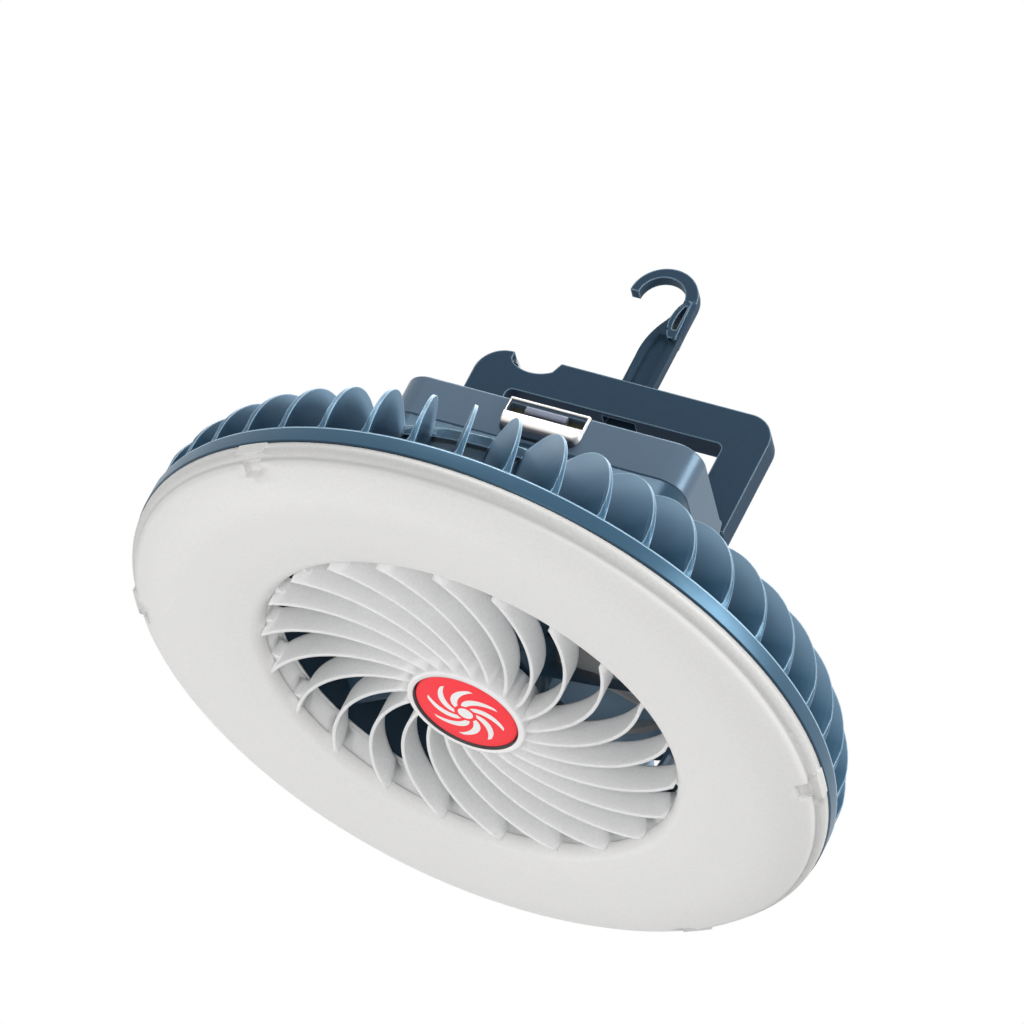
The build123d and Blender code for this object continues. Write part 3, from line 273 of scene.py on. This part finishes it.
def noise(tree, scale, detail=2.0, roughness=0.5, place=None):
    """A cloudy pattern from 0 to 1, fixed to the piece."""
    texture = new_node(tree, "ShaderNodeTexNoise",
                       {"Vector": place or own(tree, "Object"), "Scale": scale,
                        "Detail": detail, "Roughness": roughness})
    return texture.outputs["Fac"]


def rgba(colour):
    """A colour as its socket takes it. One that comes from a socket stays as it is."""
    return colour if isinstance(colour, bpy.types.NodeSocket) else (*colour, 1.0)


def tint(colour, factor):
    """The colour made lighter or darker."""
    return tuple(min(1.0, channel * factor) for channel in colour)


def blend_colours(tree, factor, first, second):
    """The first colour where the factor is 0, and the second where it is 1."""
    mix = new_node(tree, "ShaderNodeMix",
                   {"Factor": factor, "A": rgba(first), "B": rgba(second)}, data_type="RGBA")
    return mix.outputs["Result"]


def remap(tree, value, low, high, start=0.0, end=1.0):
    """Goes from low to high as the value goes from start to end, and no further."""
    node = new_node(tree, "ShaderNodeMapRange",
                    {"Value": value, "From Min": start, "From Max": end,
                     "To Min": low, "To Max": high})
    return node.outputs["Result"]


def mottled(tree, pattern, colour, dark, light):
    """The colour, darker where the pattern is low and lighter where it is high."""
    return blend_colours(tree, pattern, tint(colour, dark), tint(colour, light))


def uneven(tree, scale, low, high):
    """A roughness that drifts between two values in patches."""
    return remap(tree, noise(tree, scale), low, high)


def rounded_normal(tree, radius):
    """The surface's normal as if its edges were rounded."""
    bevel = new_node(tree, "ShaderNodeBevel", {"Radius": radius}, samples=BEVEL_SAMPLES)
    return bevel.outputs["Normal"]


def grain_bump(tree, shader, scale, depth, strength=0.3, edge_round=0.0):
    """A fine grain, over edges that look rounded where edge_round is given."""
    inputs = {"Strength": strength, "Distance": depth, "Height": noise(tree, scale, detail=3.0)}
    if edge_round:
        inputs["Normal"] = rounded_normal(tree, edge_round)
    bump = new_node(tree, "ShaderNodeBump", inputs)
    tree.links.new(bump.outputs["Normal"], shader.inputs["Normal"])


def painted_edge_highlight(tree, colour, width, strength, highlight_colour):
    """The colour, paler along the edges: a painted highlight where rounded edges would catch the
    light.
    """
    plain = tree.nodes.new("ShaderNodeNewGeometry").outputs["Normal"]
    likeness = new_node(tree, "ShaderNodeVectorMath", {0: rounded_normal(tree, width), 1: plain},
                        operation="DOT_PRODUCT")
    highlighted = remap(tree, likeness.outputs["Value"], 0.0, strength, *HIGHLIGHT_COSINE)
    return blend_colours(tree, highlighted, colour, highlight_colour)


def along_axis(tree, axis, start, end):
    """0 at start and 1 at end, along one axis of the piece or, for R, out from the Z axis."""
    place = own(tree, "Object")
    if axis == "R":
        level = new_node(tree, "ShaderNodeVectorMath", {0: place, 1: (1, 1, 0)},
                         operation="MULTIPLY")
        length = new_node(tree, "ShaderNodeVectorMath", {0: level.outputs["Vector"]},
                          operation="LENGTH")
        distance = length.outputs["Value"]
    else:
        distance = new_node(tree, "ShaderNodeSeparateXYZ", {"Vector": place}).outputs[axis]
    return remap(tree, distance, 0.0, 1.0, start, end)


def stop(colour, axis, line, change):
    """A change to another colour, on an axis, with its start and end measured from a line."""
    return colour, axis, line + change[0], line + change[1]


def with_stops(tree, colour, stops):
    """The colour, changed at each of the stops in turn."""
    for other, axis, start, end in stops:
        colour = blend_colours(tree, along_axis(tree, axis, start, end), colour, other)
    return colour


# ---- finishes ----------------------------------------------------------------------------
def moulded(name, colour, roughness, variation=0.05, mottle=60.0, grain=1500.0,
            depth=0.04 * MM, edge_round=0.0, gloss=0.5, gloss_tint=(1, 1, 1), metallic=0.0,
            coat=0.0, stops=(), highlight_amount=0.0):
    """A moulded or painted surface: slight mottling, uneven gloss and a fine grain.

    The last argument paints a highlight along the edges: how far they go toward its paler colour.
    """
    tree, shader = new_finish(name)
    surface = mottled(tree, noise(tree, mottle, detail=4.0), colour, 1 - variation, 1 + variation)
    surface = with_stops(tree, surface, stops)
    # Painted highlight along the edges, paler where rounded edges would catch the light.
    if highlight_amount:
        surface = painted_edge_highlight(tree, surface, HIGHLIGHT_WIDTH * edge_round, highlight_amount, EDGE_HIGHLIGHT)
    fill(tree, shader, {"Base Color": surface,
                        "Roughness": uneven(tree, 3 * mottle, roughness - PLASTIC_DRIFT,
                                            roughness + PLASTIC_DRIFT),
                        "Metallic": metallic, "Coat Weight": coat, "Specular IOR Level": gloss,
                        "Specular Tint": rgba(gloss_tint)})
    grain_bump(tree, shader, grain, depth, edge_round=edge_round)


def grille_with_painted_light(name, face, edge, edge_round):
    """Pale vane sides with front edges painted paler as a highlight, and painted shade in the gap
    round the button.
    """
    tree, shader = new_finish(name)
    normal = new_node(tree, "ShaderNodeSeparateXYZ", {"Vector": own(tree, "Normal")})
    sideness = remap(tree, normal.outputs["Z"], 0.0, 1.0, *VANE_SIDE)
    speckle = remap(tree, noise(tree, 900.0, detail=3.0), 0.0, 1.0, start=0.3, end=0.7)
    # Front edges painted paler than the sides: a painted highlight.
    vanes = blend_colours(tree, sideness, edge, mottled(tree, speckle, face, 0.95, 1.05))
    button_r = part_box("fan_button")[1][0]
    past_gap = along_axis(tree, "R", button_r + BUTTON_GAP[0], button_r + BUTTON_GAP[1])
    # Painted shade in the gap round the button.
    fill(tree, shader, {"Base Color": blend_colours(tree, past_gap, GAP_SHADE, vanes),
                        "Roughness": uneven(tree, 150.0, 0.38, 0.52),
                        "Subsurface Weight": 1.0, "Subsurface Radius": (1, 1, 1),
                        "Subsurface Scale": 3 * MM})
    grain_bump(tree, shader, 1400.0, 0.04 * MM, edge_round=edge_round)


def frosted(name, colour, lip, edge_round):
    """Frosted plastic with a fine sparkle, a little light passing through it."""
    tree, shader = new_finish(name)
    face = mottled(tree, noise(tree, 12.0, detail=3.0), colour, 0.975, 1.02)
    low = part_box("diffuser")[0][2]
    body = with_stops(tree, face, [stop(lip, "Z", low, LIGHT_LIP)])
    sparkle = remap(tree, noise(tree, 1100.0, detail=4.0, roughness=0.7), 0.0, 0.5,
                    start=0.35, end=0.68)
    grained = blend_colours(tree, sparkle, body, tint(colour, 0.88))
    # Painted highlight along the light's edges.
    width, strength = FROST_HIGHLIGHT
    highlighted = painted_edge_highlight(tree, grained, width * edge_round, strength, tint(colour, 1.2))
    fill(tree, shader, {"Base Color": highlighted, "Roughness": uneven(tree, 300.0, 0.42, 0.58),
                        "Subsurface Weight": 0.10, "Subsurface Radius": (1, 1, 1),
                        "Subsurface Scale": 2 * MM})
    grain_bump(tree, shader, 1300.0, 0.06 * MM, strength=0.4, edge_round=edge_round)


def drawn_metal(name, colour, roughness, stops=(), edge_round=0.0):
    """Metal with fine lines along its drawing direction."""
    tree, shader = new_finish(name)
    stretched = new_node(tree, "ShaderNodeMapping",
                         {"Vector": own(tree, "Object"), "Scale": LINE_STRETCH})
    lines = noise(tree, 400.0, detail=4.0, place=stretched.outputs["Vector"])
    metal = with_stops(tree, mottled(tree, lines, colour, 0.85, 1.1), stops)
    fill(tree, shader, {"Base Color": metal,
                        "Roughness": remap(tree, lines, roughness - METAL_DRIFT,
                                           roughness + METAL_DRIFT),
                        "Metallic": 1.0})
    grain_bump(tree, shader, 900.0, 0.03 * MM, strength=0.12, edge_round=edge_round)


def circuit_board(name, mask, copper):
    """Solder mask with the faint relief of tracks and pads."""
    tree, shader = new_finish(name)
    tracks = new_node(tree, "ShaderNodeTexBrick",
                      {"Vector": own(tree, "Object"), "Scale": 180.0, "Mortar Size": 0.03,
                       "Color1": rgba(mask), "Color2": rgba(tint(mask, 0.8)),
                       "Mortar": rgba(copper)})
    fill(tree, shader, {"Base Color": tracks.outputs["Color"],
                        "Roughness": uneven(tree, 200.0, 0.25, 0.4)})
    grain_bump(tree, shader, 700.0, 0.05 * MM)


def clear_pipe(name, dim, bright):
    """Clear plastic of a light pipe."""
    tree, shader = new_finish(name)
    fill(tree, shader, {"Base Color": blend_colours(tree, noise(tree, 300.0), dim, bright),
                        "Roughness": uneven(tree, 500.0, 0.08, 0.2),
                        "Transmission Weight": 0.7})
    grain_bump(tree, shader, 900.0, 0.03 * MM)


def outer_finishes(colours, sizes):
    """The finishes that show from outside, with a few of their own for single pieces."""
    soft = sizes.edge_round
    fin_low, fin_high = sizes.fin_foot, sizes.fin_foot + sizes.fin_rise
    deck = sizes.deck_radius
    # Painted highlight along the blue body's edges.
    moulded("blue_body", colours.fin_blue, 0.32, metallic=0.1, variation=0.03, grain=2200.0,
            depth=0.03 * MM, edge_round=soft, gloss=0.4, gloss_tint=BLUE_GLOSS, highlight_amount=0.9,
            # Painted light: the fins turn paler toward their crest.
            stops=[(colours.painted_light_grey, "Z", fin_low + FIN_LIGHT_FADE[0], fin_high + FIN_LIGHT_FADE[1]),
                   # Painted shade round the deck's rim.
                   stop(tint(colours.body_blue, 0.7), "R", deck, DECK_RIM_SHADE),
                   # Painted light on the deck's face.
                   stop(tint(colours.painted_light_grey, 1.2), "R", deck, DECK_FACE_LIGHT),
                   stop(tint(colours.body_blue, 0.75), "Z", fin_high, PEDESTAL)])
    band_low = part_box("body_shell")[0][2]
    # Painted shade on the band's front edge beside the light, painted highlight on its rear edge.
    moulded("blue_band", BAND_FRONT_SHADE, 0.34, metallic=0.12, variation=0.02, grain=2200.0,
            depth=0.02 * MM, gloss=0.85, gloss_tint=BLUE_GLOSS,
            stops=[stop(colours.body_blue, "Z", band_low, BAND_FRONT),
                   stop(EDGE_HIGHLIGHT, "Z", fin_low, BAND_REAR)])
    matt = {"variation": 0.10, "mottle": 500.0, "grain": 1300.0, "depth": 0.06 * MM,
            "edge_round": soft, "gloss": 0.1, "gloss_tint": BLUE_GLOSS}
    # Painted highlight along the bail's edges.
    moulded("navy_frame", colours.frame_navy, 0.5, highlight_amount=0.6, **matt)
    moulded("hook_navy", tint(colours.frame_navy, 0.85), 0.5, **matt)
    # Painted highlight along the cover's edges.
    moulded("cover_grey", colours.cover_grey, 0.30, metallic=0.1, variation=0.03, grain=2000.0,
            depth=0.03 * MM, edge_round=soft, gloss=0.35, gloss_tint=COVER_GLOSS, highlight_amount=0.4)
    wall_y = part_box("battery_cover")[0][1]
    # Painted shade on the slider inside the cover's wall, where its slot is in shade.
    moulded("slider_grey", SLIDER_SLOT_SHADE, 0.35, metallic=0.3, edge_round=soft,
            stops=[stop(SLIDER_PALE, "Y", wall_y, SLIDER_FACE)])
    scoop_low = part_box("slider_scoop")[0][2]
    # Painted dark reflection on the scoop's lowest part.
    drawn_metal("scoop_chrome", SCOOP_DARK_REFLECTION, 0.34, edge_round=soft,
                stops=[stop(SCOOP_BRIGHT, "Z", scoop_low, SCOOP_WALL)])
    frosted("frosted_light", colours.light_white, tint(colours.light_white, 0.74), 1.5 * soft)
    # Painted highlight on the vanes' front edges and painted shade in the gap round the button.
    grille_with_painted_light("grille_grey", colours.grille_face, colours.grille_edge_highlight, soft)
    moulded("button_red", colours.button_red, 0.4, variation=0.02, grain=1200.0,
            depth=0.02 * MM, gloss=0.15)
    moulded("print_white", (0.88, 0.88, 0.87), 0.4, variation=0.01, depth=0.01 * MM)
    clear_pipe("signal_clear", (0.80, 0.88, 0.90), (0.95, 0.98, 1.0))


def inner_finishes(sizes):
    """The finishes of the pieces inside, some of which show between the vanes."""
    soft = sizes.edge_round
    moulded("duct_navy", (0.022, 0.042, 0.066), 0.5, variation=0.1, gloss=0.25)
    moulded("fan_blade", (0.026, 0.058, 0.094), 0.32, variation=0.06, coat=0.1,
            edge_round=soft, gloss=0.4)
    moulded("mount_grey", (0.48, 0.48, 0.48), 0.42, edge_round=soft)
    circuit_board("board_green", (0.02, 0.13, 0.06), (0.05, 0.22, 0.10))
    circuit_board("board_white", (0.80, 0.80, 0.78), (0.66, 0.66, 0.62))
    moulded("led_chip", (0.86, 0.78, 0.36), 0.35, variation=0.08, mottle=400.0)
    moulded("cell_wrap", (0.10, 0.28, 0.46), 0.25, coat=0.4)
    moulded("cradle_black", (0.018, 0.019, 0.021), 0.5, variation=0.1)
    for name, colour, roughness in DRAWN_METALS:
        drawn_metal(name, colour, roughness)


# ---- mesh helpers ------------------------------------------------------------------------
def as_mesh(bm, name):
    """The mesh that a bmesh holds. The bmesh is freed."""
    mesh = bpy.data.meshes.new(name)
    bm.to_mesh(mesh)
    bm.free()
    return mesh


def add_object(name, data):
    """Puts a mesh, lamp or camera into the scene."""
    added = bpy.data.objects.new(name, data)
    bpy.context.scene.collection.objects.link(added)
    return added


def finished_object(name, bm, node, material=None, sharp_angle=35.0, even=False):
    """Turns a bmesh into a smooth-shaded piece that rides with a node's body and has its finish.

    even weighs the normals by the size of the faces, so that large flat faces shade flat.
    """
    mesh = as_mesh(bm, name)
    mesh.shade_smooth()
    mesh.set_sharp_from_angle(angle=radians(sharp_angle))
    mesh.materials.append(bpy.data.materials[material or SLOT_OF[node]])
    piece = add_object(name, mesh)
    if even:
        weigh = piece.modifiers.new("weigh", "WEIGHTED_NORMAL")
        weigh.keep_sharp = True
    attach(piece, BODY_OF[node])
    return piece


def dressed_copy(node, material=None, sharp_angle=30.0, even=False, turn=0.0):
    """A merged copy of a CAD node, smooth where it is round, in the node's place.

    turn is an angle about the fan's axis, for a piece whose seat is round.
    """
    bm = bmesh.new()
    bm.from_mesh(frame["nodes"][node].data)
    bmesh.ops.remove_doubles(bm, verts=bm.verts, dist=0.002 * MM)
    if turn:
        bmesh.ops.rotate(bm, verts=bm.verts, cent=(0, 0, 0), matrix=Matrix.Rotation(turn, 3, "Z"))
    piece = finished_object(node + ".dressed", bm, node, material, sharp_angle, even)
    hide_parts(node)
    return piece


def crisp_level_faces(mesh):
    """Marks the border of every level face sharp, so that it shades flat up to its border."""
    kinds = {}
    for face in mesh.polygons:
        for corner in face.loop_indices:
            kinds.setdefault(mesh.loops[corner].edge_index, set()).add(
                abs(face.normal.z) > LEVEL_NORMAL)
    for edge, levels in kinds.items():
        if len(levels) == 2:
            mesh.edges[edge].use_edge_sharp = True


def paint(node):
    """Gives a CAD node that keeps its own shape its finish."""
    mesh = frame["nodes"][node].data
    mesh.materials.clear()
    mesh.materials.append(bpy.data.materials[SLOT_OF[node]])


# ---- operators ---------------------------------------------------------------------------
class FAN_OT_materials(bpy.types.Operator):
    """Make every finish"""
    bl_idname = "camping_fan.materials"
    bl_label = "Make finishes"

    def execute(self, context):
        outer_finishes(context.scene.fan_colours, context.scene.fan_sizes)
        inner_finishes(context.scene.fan_sizes)
        return {"FINISHED"}


class FAN_OT_body(bpy.types.Operator):
    """Dress the blue body with its band and fins"""
    bl_idname = "camping_fan.body"
    bl_label = "Body and fins"

    def execute(self, context):
        sizes = context.scene.fan_sizes
        body = dressed_copy("body_shell")
        crisp_level_faces(body.data)
        self.slim_fins(body.data, sizes)
        self.band_skin(body.data, sizes)
        return {"FINISHED"}

    @staticmethod
    def fin_planes(sizes, rim):
        """The middle plane of each fin: its root on the rim, the way inward and the way across."""
        sweep, lean = sizes.fin_sweep, sizes.fin_lean
        root = Vector((rim, 0, sizes.fin_foot))
        inward = Vector((-cos(sweep), -sin(sweep), 0))
        across = Vector((-sin(sweep) * cos(lean), cos(sweep) * cos(lean), sin(lean)))
        turns = [Matrix.Rotation(sizes.fin_phase + 2 * pi * number / sizes.fin_count, 3, "Z")
                 for number in range(sizes.fin_count)]
        return [(turn @ root, turn @ inward, turn @ across) for turn in turns]

    def slim_fins(self, mesh, sizes):
        """Thins each fin toward its middle plane, most at the crest, as its rounded rim does."""
        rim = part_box("body_shell")[1][0]
        planes = self.fin_planes(sizes, rim)
        foot, crest = sizes.fin_foot, sizes.fin_foot + sizes.fin_rise
        for vert in mesh.vertices:
            height = vert.co.z
            if not foot + FIN_ROOT < height < crest + FIN_OVER:
                continue
            rise = min(1.0, (height - foot) / (FIN_SLIM_RISE * sizes.fin_rise))
            kept = sizes.foot_slim + (sizes.crest_slim - sizes.foot_slim) * rise
            for root, inward, across in planes:
                offset = vert.co - root
                off_plane = offset.dot(across)
                if (abs(off_plane) < FIN_HALF
                        and -MM < offset.dot(inward) < sizes.fin_reach + MM):
                    vert.co -= across * off_plane * (1 - kept)
                    vert.co.xy *= min(1.0, (rim - FIN_RIM_GAP) / vert.co.xy.length)
                    break

    @staticmethod
    def band_skin(mesh, sizes):
        """Sets the band's outer face back and lays an even ring over it, bevelled at the rear."""
        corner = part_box("body_shell")[0]
        rim = -corner[0] - SKIN_GAP
        bevel, inner = sizes.band_bevel, rim - sizes.skin_depth
        for vert in mesh.vertices:
            radius = vert.co.xy.length
            if vert.co.z < sizes.fin_foot + SKIN_STEP and radius > rim - bevel:
                vert.co.xy *= (radius - SKIN_STEP) / radius
        low, high = corner[2], sizes.fin_foot + SKIN_LAP
        outline = [(inner, low - SKIN_LAP), (rim - bevel, low - SKIN_LAP), (rim, low + bevel),
                   (rim, high - bevel)]
        for segment in range(1, BEVEL_SEGMENTS + 1):
            turn = pi / 2 * segment / BEVEL_SEGMENTS
            outline.append((rim - bevel * (1 - cos(turn)), high - bevel * (1 - sin(turn))))
        outline.append((inner, high))
        bm = bmesh.new()
        verts = [bm.verts.new((radius, 0, height)) for radius, height in outline]
        edges = [bm.edges.new(pair) for pair in zip(verts, verts[1:] + verts[:1])]
        bmesh.ops.spin(bm, geom=verts + edges, cent=(0, 0, 0), axis=(0, 0, 1), angle=2 * pi,
                       steps=SKIN_SEGMENTS, use_merge=True)
        bmesh.ops.recalc_face_normals(bm, faces=bm.faces)
        finished_object("band_skin", bm, "body_shell", "blue_band")


class FAN_OT_light(bpy.types.Operator):
    """Dress the frosted light, its tray, its board and its LEDs"""
    bl_idname = "camping_fan.light"
    bl_label = "Ring light"

    def execute(self, context):
        light = dressed_copy("diffuser", sharp_angle=24.0)
        self.open_notches(light, context)
        dressed_copy("light_tray")
        paint("led_board")
        paint("led_chips")
        return {"FINISHED"}

    @staticmethod
    def notch_cutters(sizes):
        """A prism across each notch, with the section that is cut out of it."""
        half = sizes.notch_long / 2
        bm = bmesh.new()
        for angle in NOTCH_ANGLES:
            base = bm.faces.new([bm.verts.new((sizes.face_edge + out, -half, height))
                                 for out, height in NOTCH_SECTION])
            grown = bmesh.ops.extrude_face_region(bm, geom=[base])["geom"]
            far = [item for item in grown if isinstance(item, bmesh.types.BMVert)]
            bmesh.ops.translate(bm, verts=far, vec=(0, 2 * half, 0))
            bmesh.ops.rotate(bm, verts=far + base.verts[:], cent=(0, 0, 0),
                             matrix=Matrix.Rotation(radians(angle), 3, "Z"))
        bmesh.ops.recalc_face_normals(bm, faces=bm.faces)
        return as_mesh(bm, "notch_cutters")

    def open_notches(self, light, context):
        """Slopes the floor of each notch down to the lip, so that it opens onto the lip."""
        cutters = self.notch_cutters(context.scene.fan_sizes)
        cut = light.modifiers.new("cut", "BOOLEAN")
        cut.operation = "DIFFERENCE"
        cut.solver = "EXACT"
        cut.object = add_object("notch_cutters", cutters)
        whole = light.evaluated_get(context.evaluated_depsgraph_get())
        result = bpy.data.meshes.new_from_object(whole)
        light.modifiers.remove(cut)
        uncut, light.data = light.data, result
        if len(result.vertices) in (0, len(uncut.vertices)):
            raise RuntimeError("the notches could not be cut")
        bpy.data.meshes.remove(uncut)
        bpy.data.meshes.remove(cutters)  # and with it the object that holds it


class FAN_OT_grille(bpy.types.Operator):
    """Dress the grille's vanes and its hub"""
    bl_idname = "camping_fan.grille"
    bl_label = "Grille"

    def execute(self, context):
        dressed_copy("front_grille", turn=context.scene.fan_sizes.grille_turn)
        return {"FINISHED"}


class FAN_OT_button(bpy.types.Operator):
    """Dress the centre button and print its swirl"""
    bl_idname = "camping_fan.button"
    bl_label = "Centre button"

    def execute(self, context):
        dressed_copy("fan_button")
        paint("switch_board")
        self.swirl(context.scene.fan_sizes)
        return {"FINISHED"}

    @staticmethod
    def swirl(sizes):
        """A plain disc with curved strokes round it, laid on the button's domed face."""
        bm = bmesh.new()
        bmesh.ops.create_circle(bm, cap_ends=False, segments=DISC_SEGMENTS,
                                radius=sizes.swirl_disc)
        bmesh.ops.contextual_create(bm, geom=bm.edges[:])
        faces_along, faces_across = STROKE_GRID
        for number in range(sizes.swirl_strokes):
            stroke = bmesh.ops.create_grid(bm, x_segments=faces_along, y_segments=faces_across,
                                           size=0.5)["verts"]
            for vert in stroke:
                along, across = vert.co.x + 0.5, 2 * vert.co.y
                radius = sizes.swirl_inner + (sizes.swirl_outer - sizes.swirl_inner) * along
                wave = sin(pi * (STROKE_END + (1 - 2 * STROKE_END) * along))
                half_width = 0.5 * sizes.swirl_width * wave ** STROKE_FULLNESS
                turn = (2 * pi * number / sizes.swirl_strokes + sizes.swirl_sweep * along
                        + across * half_width / radius)
                vert.co = (radius * cos(turn), radius * sin(turn), 0)
        surface = bmesh.new()
        surface.from_mesh(frame["nodes"]["fan_button"].data)
        face_of_button = BVHTree.FromBMesh(surface)
        surface.free()
        for vert in bm.verts:
            in_front = Vector((vert.co.x, vert.co.y, -1.0))
            vert.co.z = face_of_button.ray_cast(in_front, Vector((0, 0, 1)))[0].z
        bmesh.ops.solidify(bm, geom=bm.faces[:], thickness=sizes.print_thickness)
        bmesh.ops.translate(bm, verts=bm.verts, vec=(0, 0, -sizes.print_thickness / 2))
        bmesh.ops.recalc_face_normals(bm, faces=bm.faces)
        finished_object("button_swirl", bm, "fan_button", "print_white")


class FAN_OT_rotor(bpy.types.Operator):
    """Dress the impeller, its nut and shaft"""
    bl_idname = "camping_fan.rotor"
    bl_label = "Impeller"

    def execute(self, context):
        dressed_copy("impeller")
        paint("impeller_nut")
        dressed_copy("motor_shaft")
        return {"FINISHED"}


class FAN_OT_motor(bpy.types.Operator):
    """Dress the motor, its bushes, its ribbed mount and screws"""
    bl_idname = "camping_fan.motor"
    bl_label = "Motor and mount"

    def execute(self, context):
        for node in ("motor_can", "motor_mount", "motor_bearings", "motor_screws"):
            dressed_copy(node)
        return {"FINISHED"}


class FAN_OT_power(bpy.types.Operator):
    """Finish the cells, cradle, straps, board, port, charge light and slide switch"""
    bl_idname = "camping_fan.power"
    bl_label = "Power parts"

    def execute(self, context):
        for node in ("cell_cradle", "cell_straps", "control_board", "slide_switch"):
            paint(node)
        for node in ("battery_cells", "usb_c_port", "charge_light"):
            dressed_copy(node)
        return {"FINISHED"}


class FAN_OT_box(bpy.types.Operator):
    """Dress the battery cover, its screws, the bright scoop and the light slider"""
    bl_idname = "camping_fan.box"
    bl_label = "Battery box"

    def execute(self, context):
        dressed_copy("battery_cover", sharp_angle=14.0, even=True)
        dressed_copy("cover_screws")
        dressed_copy("slider_scoop", even=True)
        dressed_copy("light_slider", "slider_grey", even=True)
        return {"FINISHED"}


class FAN_OT_bail(bpy.types.Operator):
    """Dress the bail, its pins and the opener's tooth"""
    bl_idname = "camping_fan.bail"
    bl_label = "Bail"

    def execute(self, context):
        dressed_copy("bail_frame", even=True)
        dressed_copy("bail_pins")
        paint("opener_tooth")
        return {"FINISHED"}


class FAN_OT_hook(bpy.types.Operator):
    """Dress the hook's arm and curl and its peg"""
    bl_idname = "camping_fan.hook"
    bl_label = "Hook"

    def execute(self, context):
        dressed_copy("hook_arm", "hook_navy", even=True)
        dressed_copy("hook_curl", even=True)
        dressed_copy("hook_pin")
        return {"FINISHED"}


class FAN_OT_stage(bpy.types.Operator):
    """Set the floor, the lamps, the even light and the camera"""
    bl_idname = "camping_fan.stage"
    bl_label = "Stage"

    def execute(self, context):
        studio = context.scene.fan_studio
        self.floor(studio)
        self.even_light(context.scene, studio)
        self.lamps()
        self.camera(context.scene, studio)
        context.scene.view_settings.view_transform = "Standard"
        return {"FINISHED"}

    @staticmethod
    def bright_where_seen(tree, lit, bright, output):
        """Gives the output the bright shader for the camera, reflections and clear plastic.

        Everything else gets light from the lit one.
        """
        path = tree.nodes.new("ShaderNodeLightPath")
        seen = path.outputs["Is Camera Ray"]
        for ray in ("Is Glossy Ray", "Is Transmission Ray"):
            seen = new_node(tree, "ShaderNodeMath", {0: seen, 1: path.outputs[ray]},
                            operation="MAXIMUM").outputs[0]
        mix = new_node(tree, "ShaderNodeMixShader", {"Fac": seen, 1: lit, 2: bright})
        tree.links.new(mix.outputs["Shader"], tree.nodes[output].inputs["Surface"])

    def floor(self, studio):
        bm = bmesh.new()
        bmesh.ops.create_circle(bm, cap_ends=True, segments=FLOOR_SEGMENTS, radius=FLOOR_RADIUS)
        bmesh.ops.translate(bm, verts=bm.verts, vec=(0, 0, -studio.floor_drop))
        floor = add_object("floor", as_mesh(bm, "floor"))
        tree, shader = new_finish("pale_floor")
        patches = blend_colours(tree, noise(tree, 2.0), (0.86, 0.86, 0.86), (0.9, 0.9, 0.9))
        fill(tree, shader, {"Base Color": patches, "Roughness": 0.8})
        glow = tree.nodes.new("ShaderNodeEmission")
        self.bright_where_seen(tree, shader.outputs["BSDF"], glow.outputs["Emission"],
                               "Material Output")
        floor.data.materials.append(bpy.data.materials["pale_floor"])

    def even_light(self, scene, studio):
        world = bpy.data.worlds.new("even_light")
        world.use_nodes = True
        tree = world.node_tree
        dim = tree.nodes["Background"]
        fill(tree, dim, {"Color": (1, 1, 1, 1), "Strength": studio.ambient})
        bright = new_node(tree, "ShaderNodeBackground", {"Color": (1, 1, 1, 1), "Strength": 1.0})
        self.bright_where_seen(tree, dim.outputs["Background"], bright.outputs["Background"],
                               "World Output")
        scene.world = world

    @staticmethod
    def lamps():
        for name, place, width, watts in LAMPS:
            data = bpy.data.lights.new(name, "AREA")
            data.shape = "DISK"
            data.size = width
            data.energy = watts
            lamp = add_object(name, data)
            lamp.location = place
            lamp.rotation_euler = (-Vector(place)).to_track_quat("-Z", "Y").to_euler()

    @staticmethod
    def camera(scene, studio):
        """A level camera that looks at the target, then rolled about its line of sight."""
        ahead = Vector((-sin(studio.view_azimuth) * cos(studio.view_elevation),
                        cos(studio.view_azimuth) * cos(studio.view_elevation),
                        -sin(studio.view_elevation)))
        level = ahead.cross(Vector((0, 0, 1))).normalized()
        upright = level.cross(ahead)
        right = level * cos(studio.view_roll) + upright * sin(studio.view_roll)
        up = right.cross(ahead)
        data = bpy.data.cameras.new("camera")
        data.lens = studio.view_lens
        data.sensor_width = 36.0
        data.clip_end = 40.0
        camera = add_object("camera", data)
        turn = Matrix((right, up, -ahead)).transposed().to_4x4()
        camera.matrix_world = (Matrix.Translation(Vector(studio.view_target)
                                                  - ahead * studio.view_distance) @ turn)
        scene.camera = camera


class FAN_PT_panel(bpy.types.Panel):
    """Lists the operators of the fan"""
    bl_idname = "FAN_PT_panel"
    bl_label = "Camping fan"
    bl_space_type = "VIEW_3D"
    bl_region_type = "UI"
    bl_category = "Camping fan"

    def draw(self, context):
        for operator in OPERATORS:
            self.layout.operator(operator.bl_idname)


OPERATORS = (FAN_OT_materials, FAN_OT_body, FAN_OT_light, FAN_OT_grille, FAN_OT_button,
             FAN_OT_rotor, FAN_OT_motor, FAN_OT_power, FAN_OT_box, FAN_OT_bail, FAN_OT_hook,
             FAN_OT_stage)
GROUPS = (("fan_sizes", FanSizes), ("fan_colours", FanColours), ("fan_studio", FanStudio))


def register():
    for key, group in GROUPS:
        bpy.utils.register_class(group)
        setattr(bpy.types.Scene, key, PointerProperty(type=group))
    for cls in (*OPERATORS, FAN_PT_panel):
        bpy.utils.register_class(cls)


def unregister():
    for cls in (FAN_PT_panel, *OPERATORS):
        bpy.utils.unregister_class(cls)
    for key, group in GROUPS:
        delattr(bpy.types.Scene, key)
        bpy.utils.unregister_class(group)


def main():
    register()
    for operator in OPERATORS:
        group, name = operator.bl_idname.split(".")
        getattr(getattr(bpy.ops, group), name)()


if __name__ == "__main__":
    main()
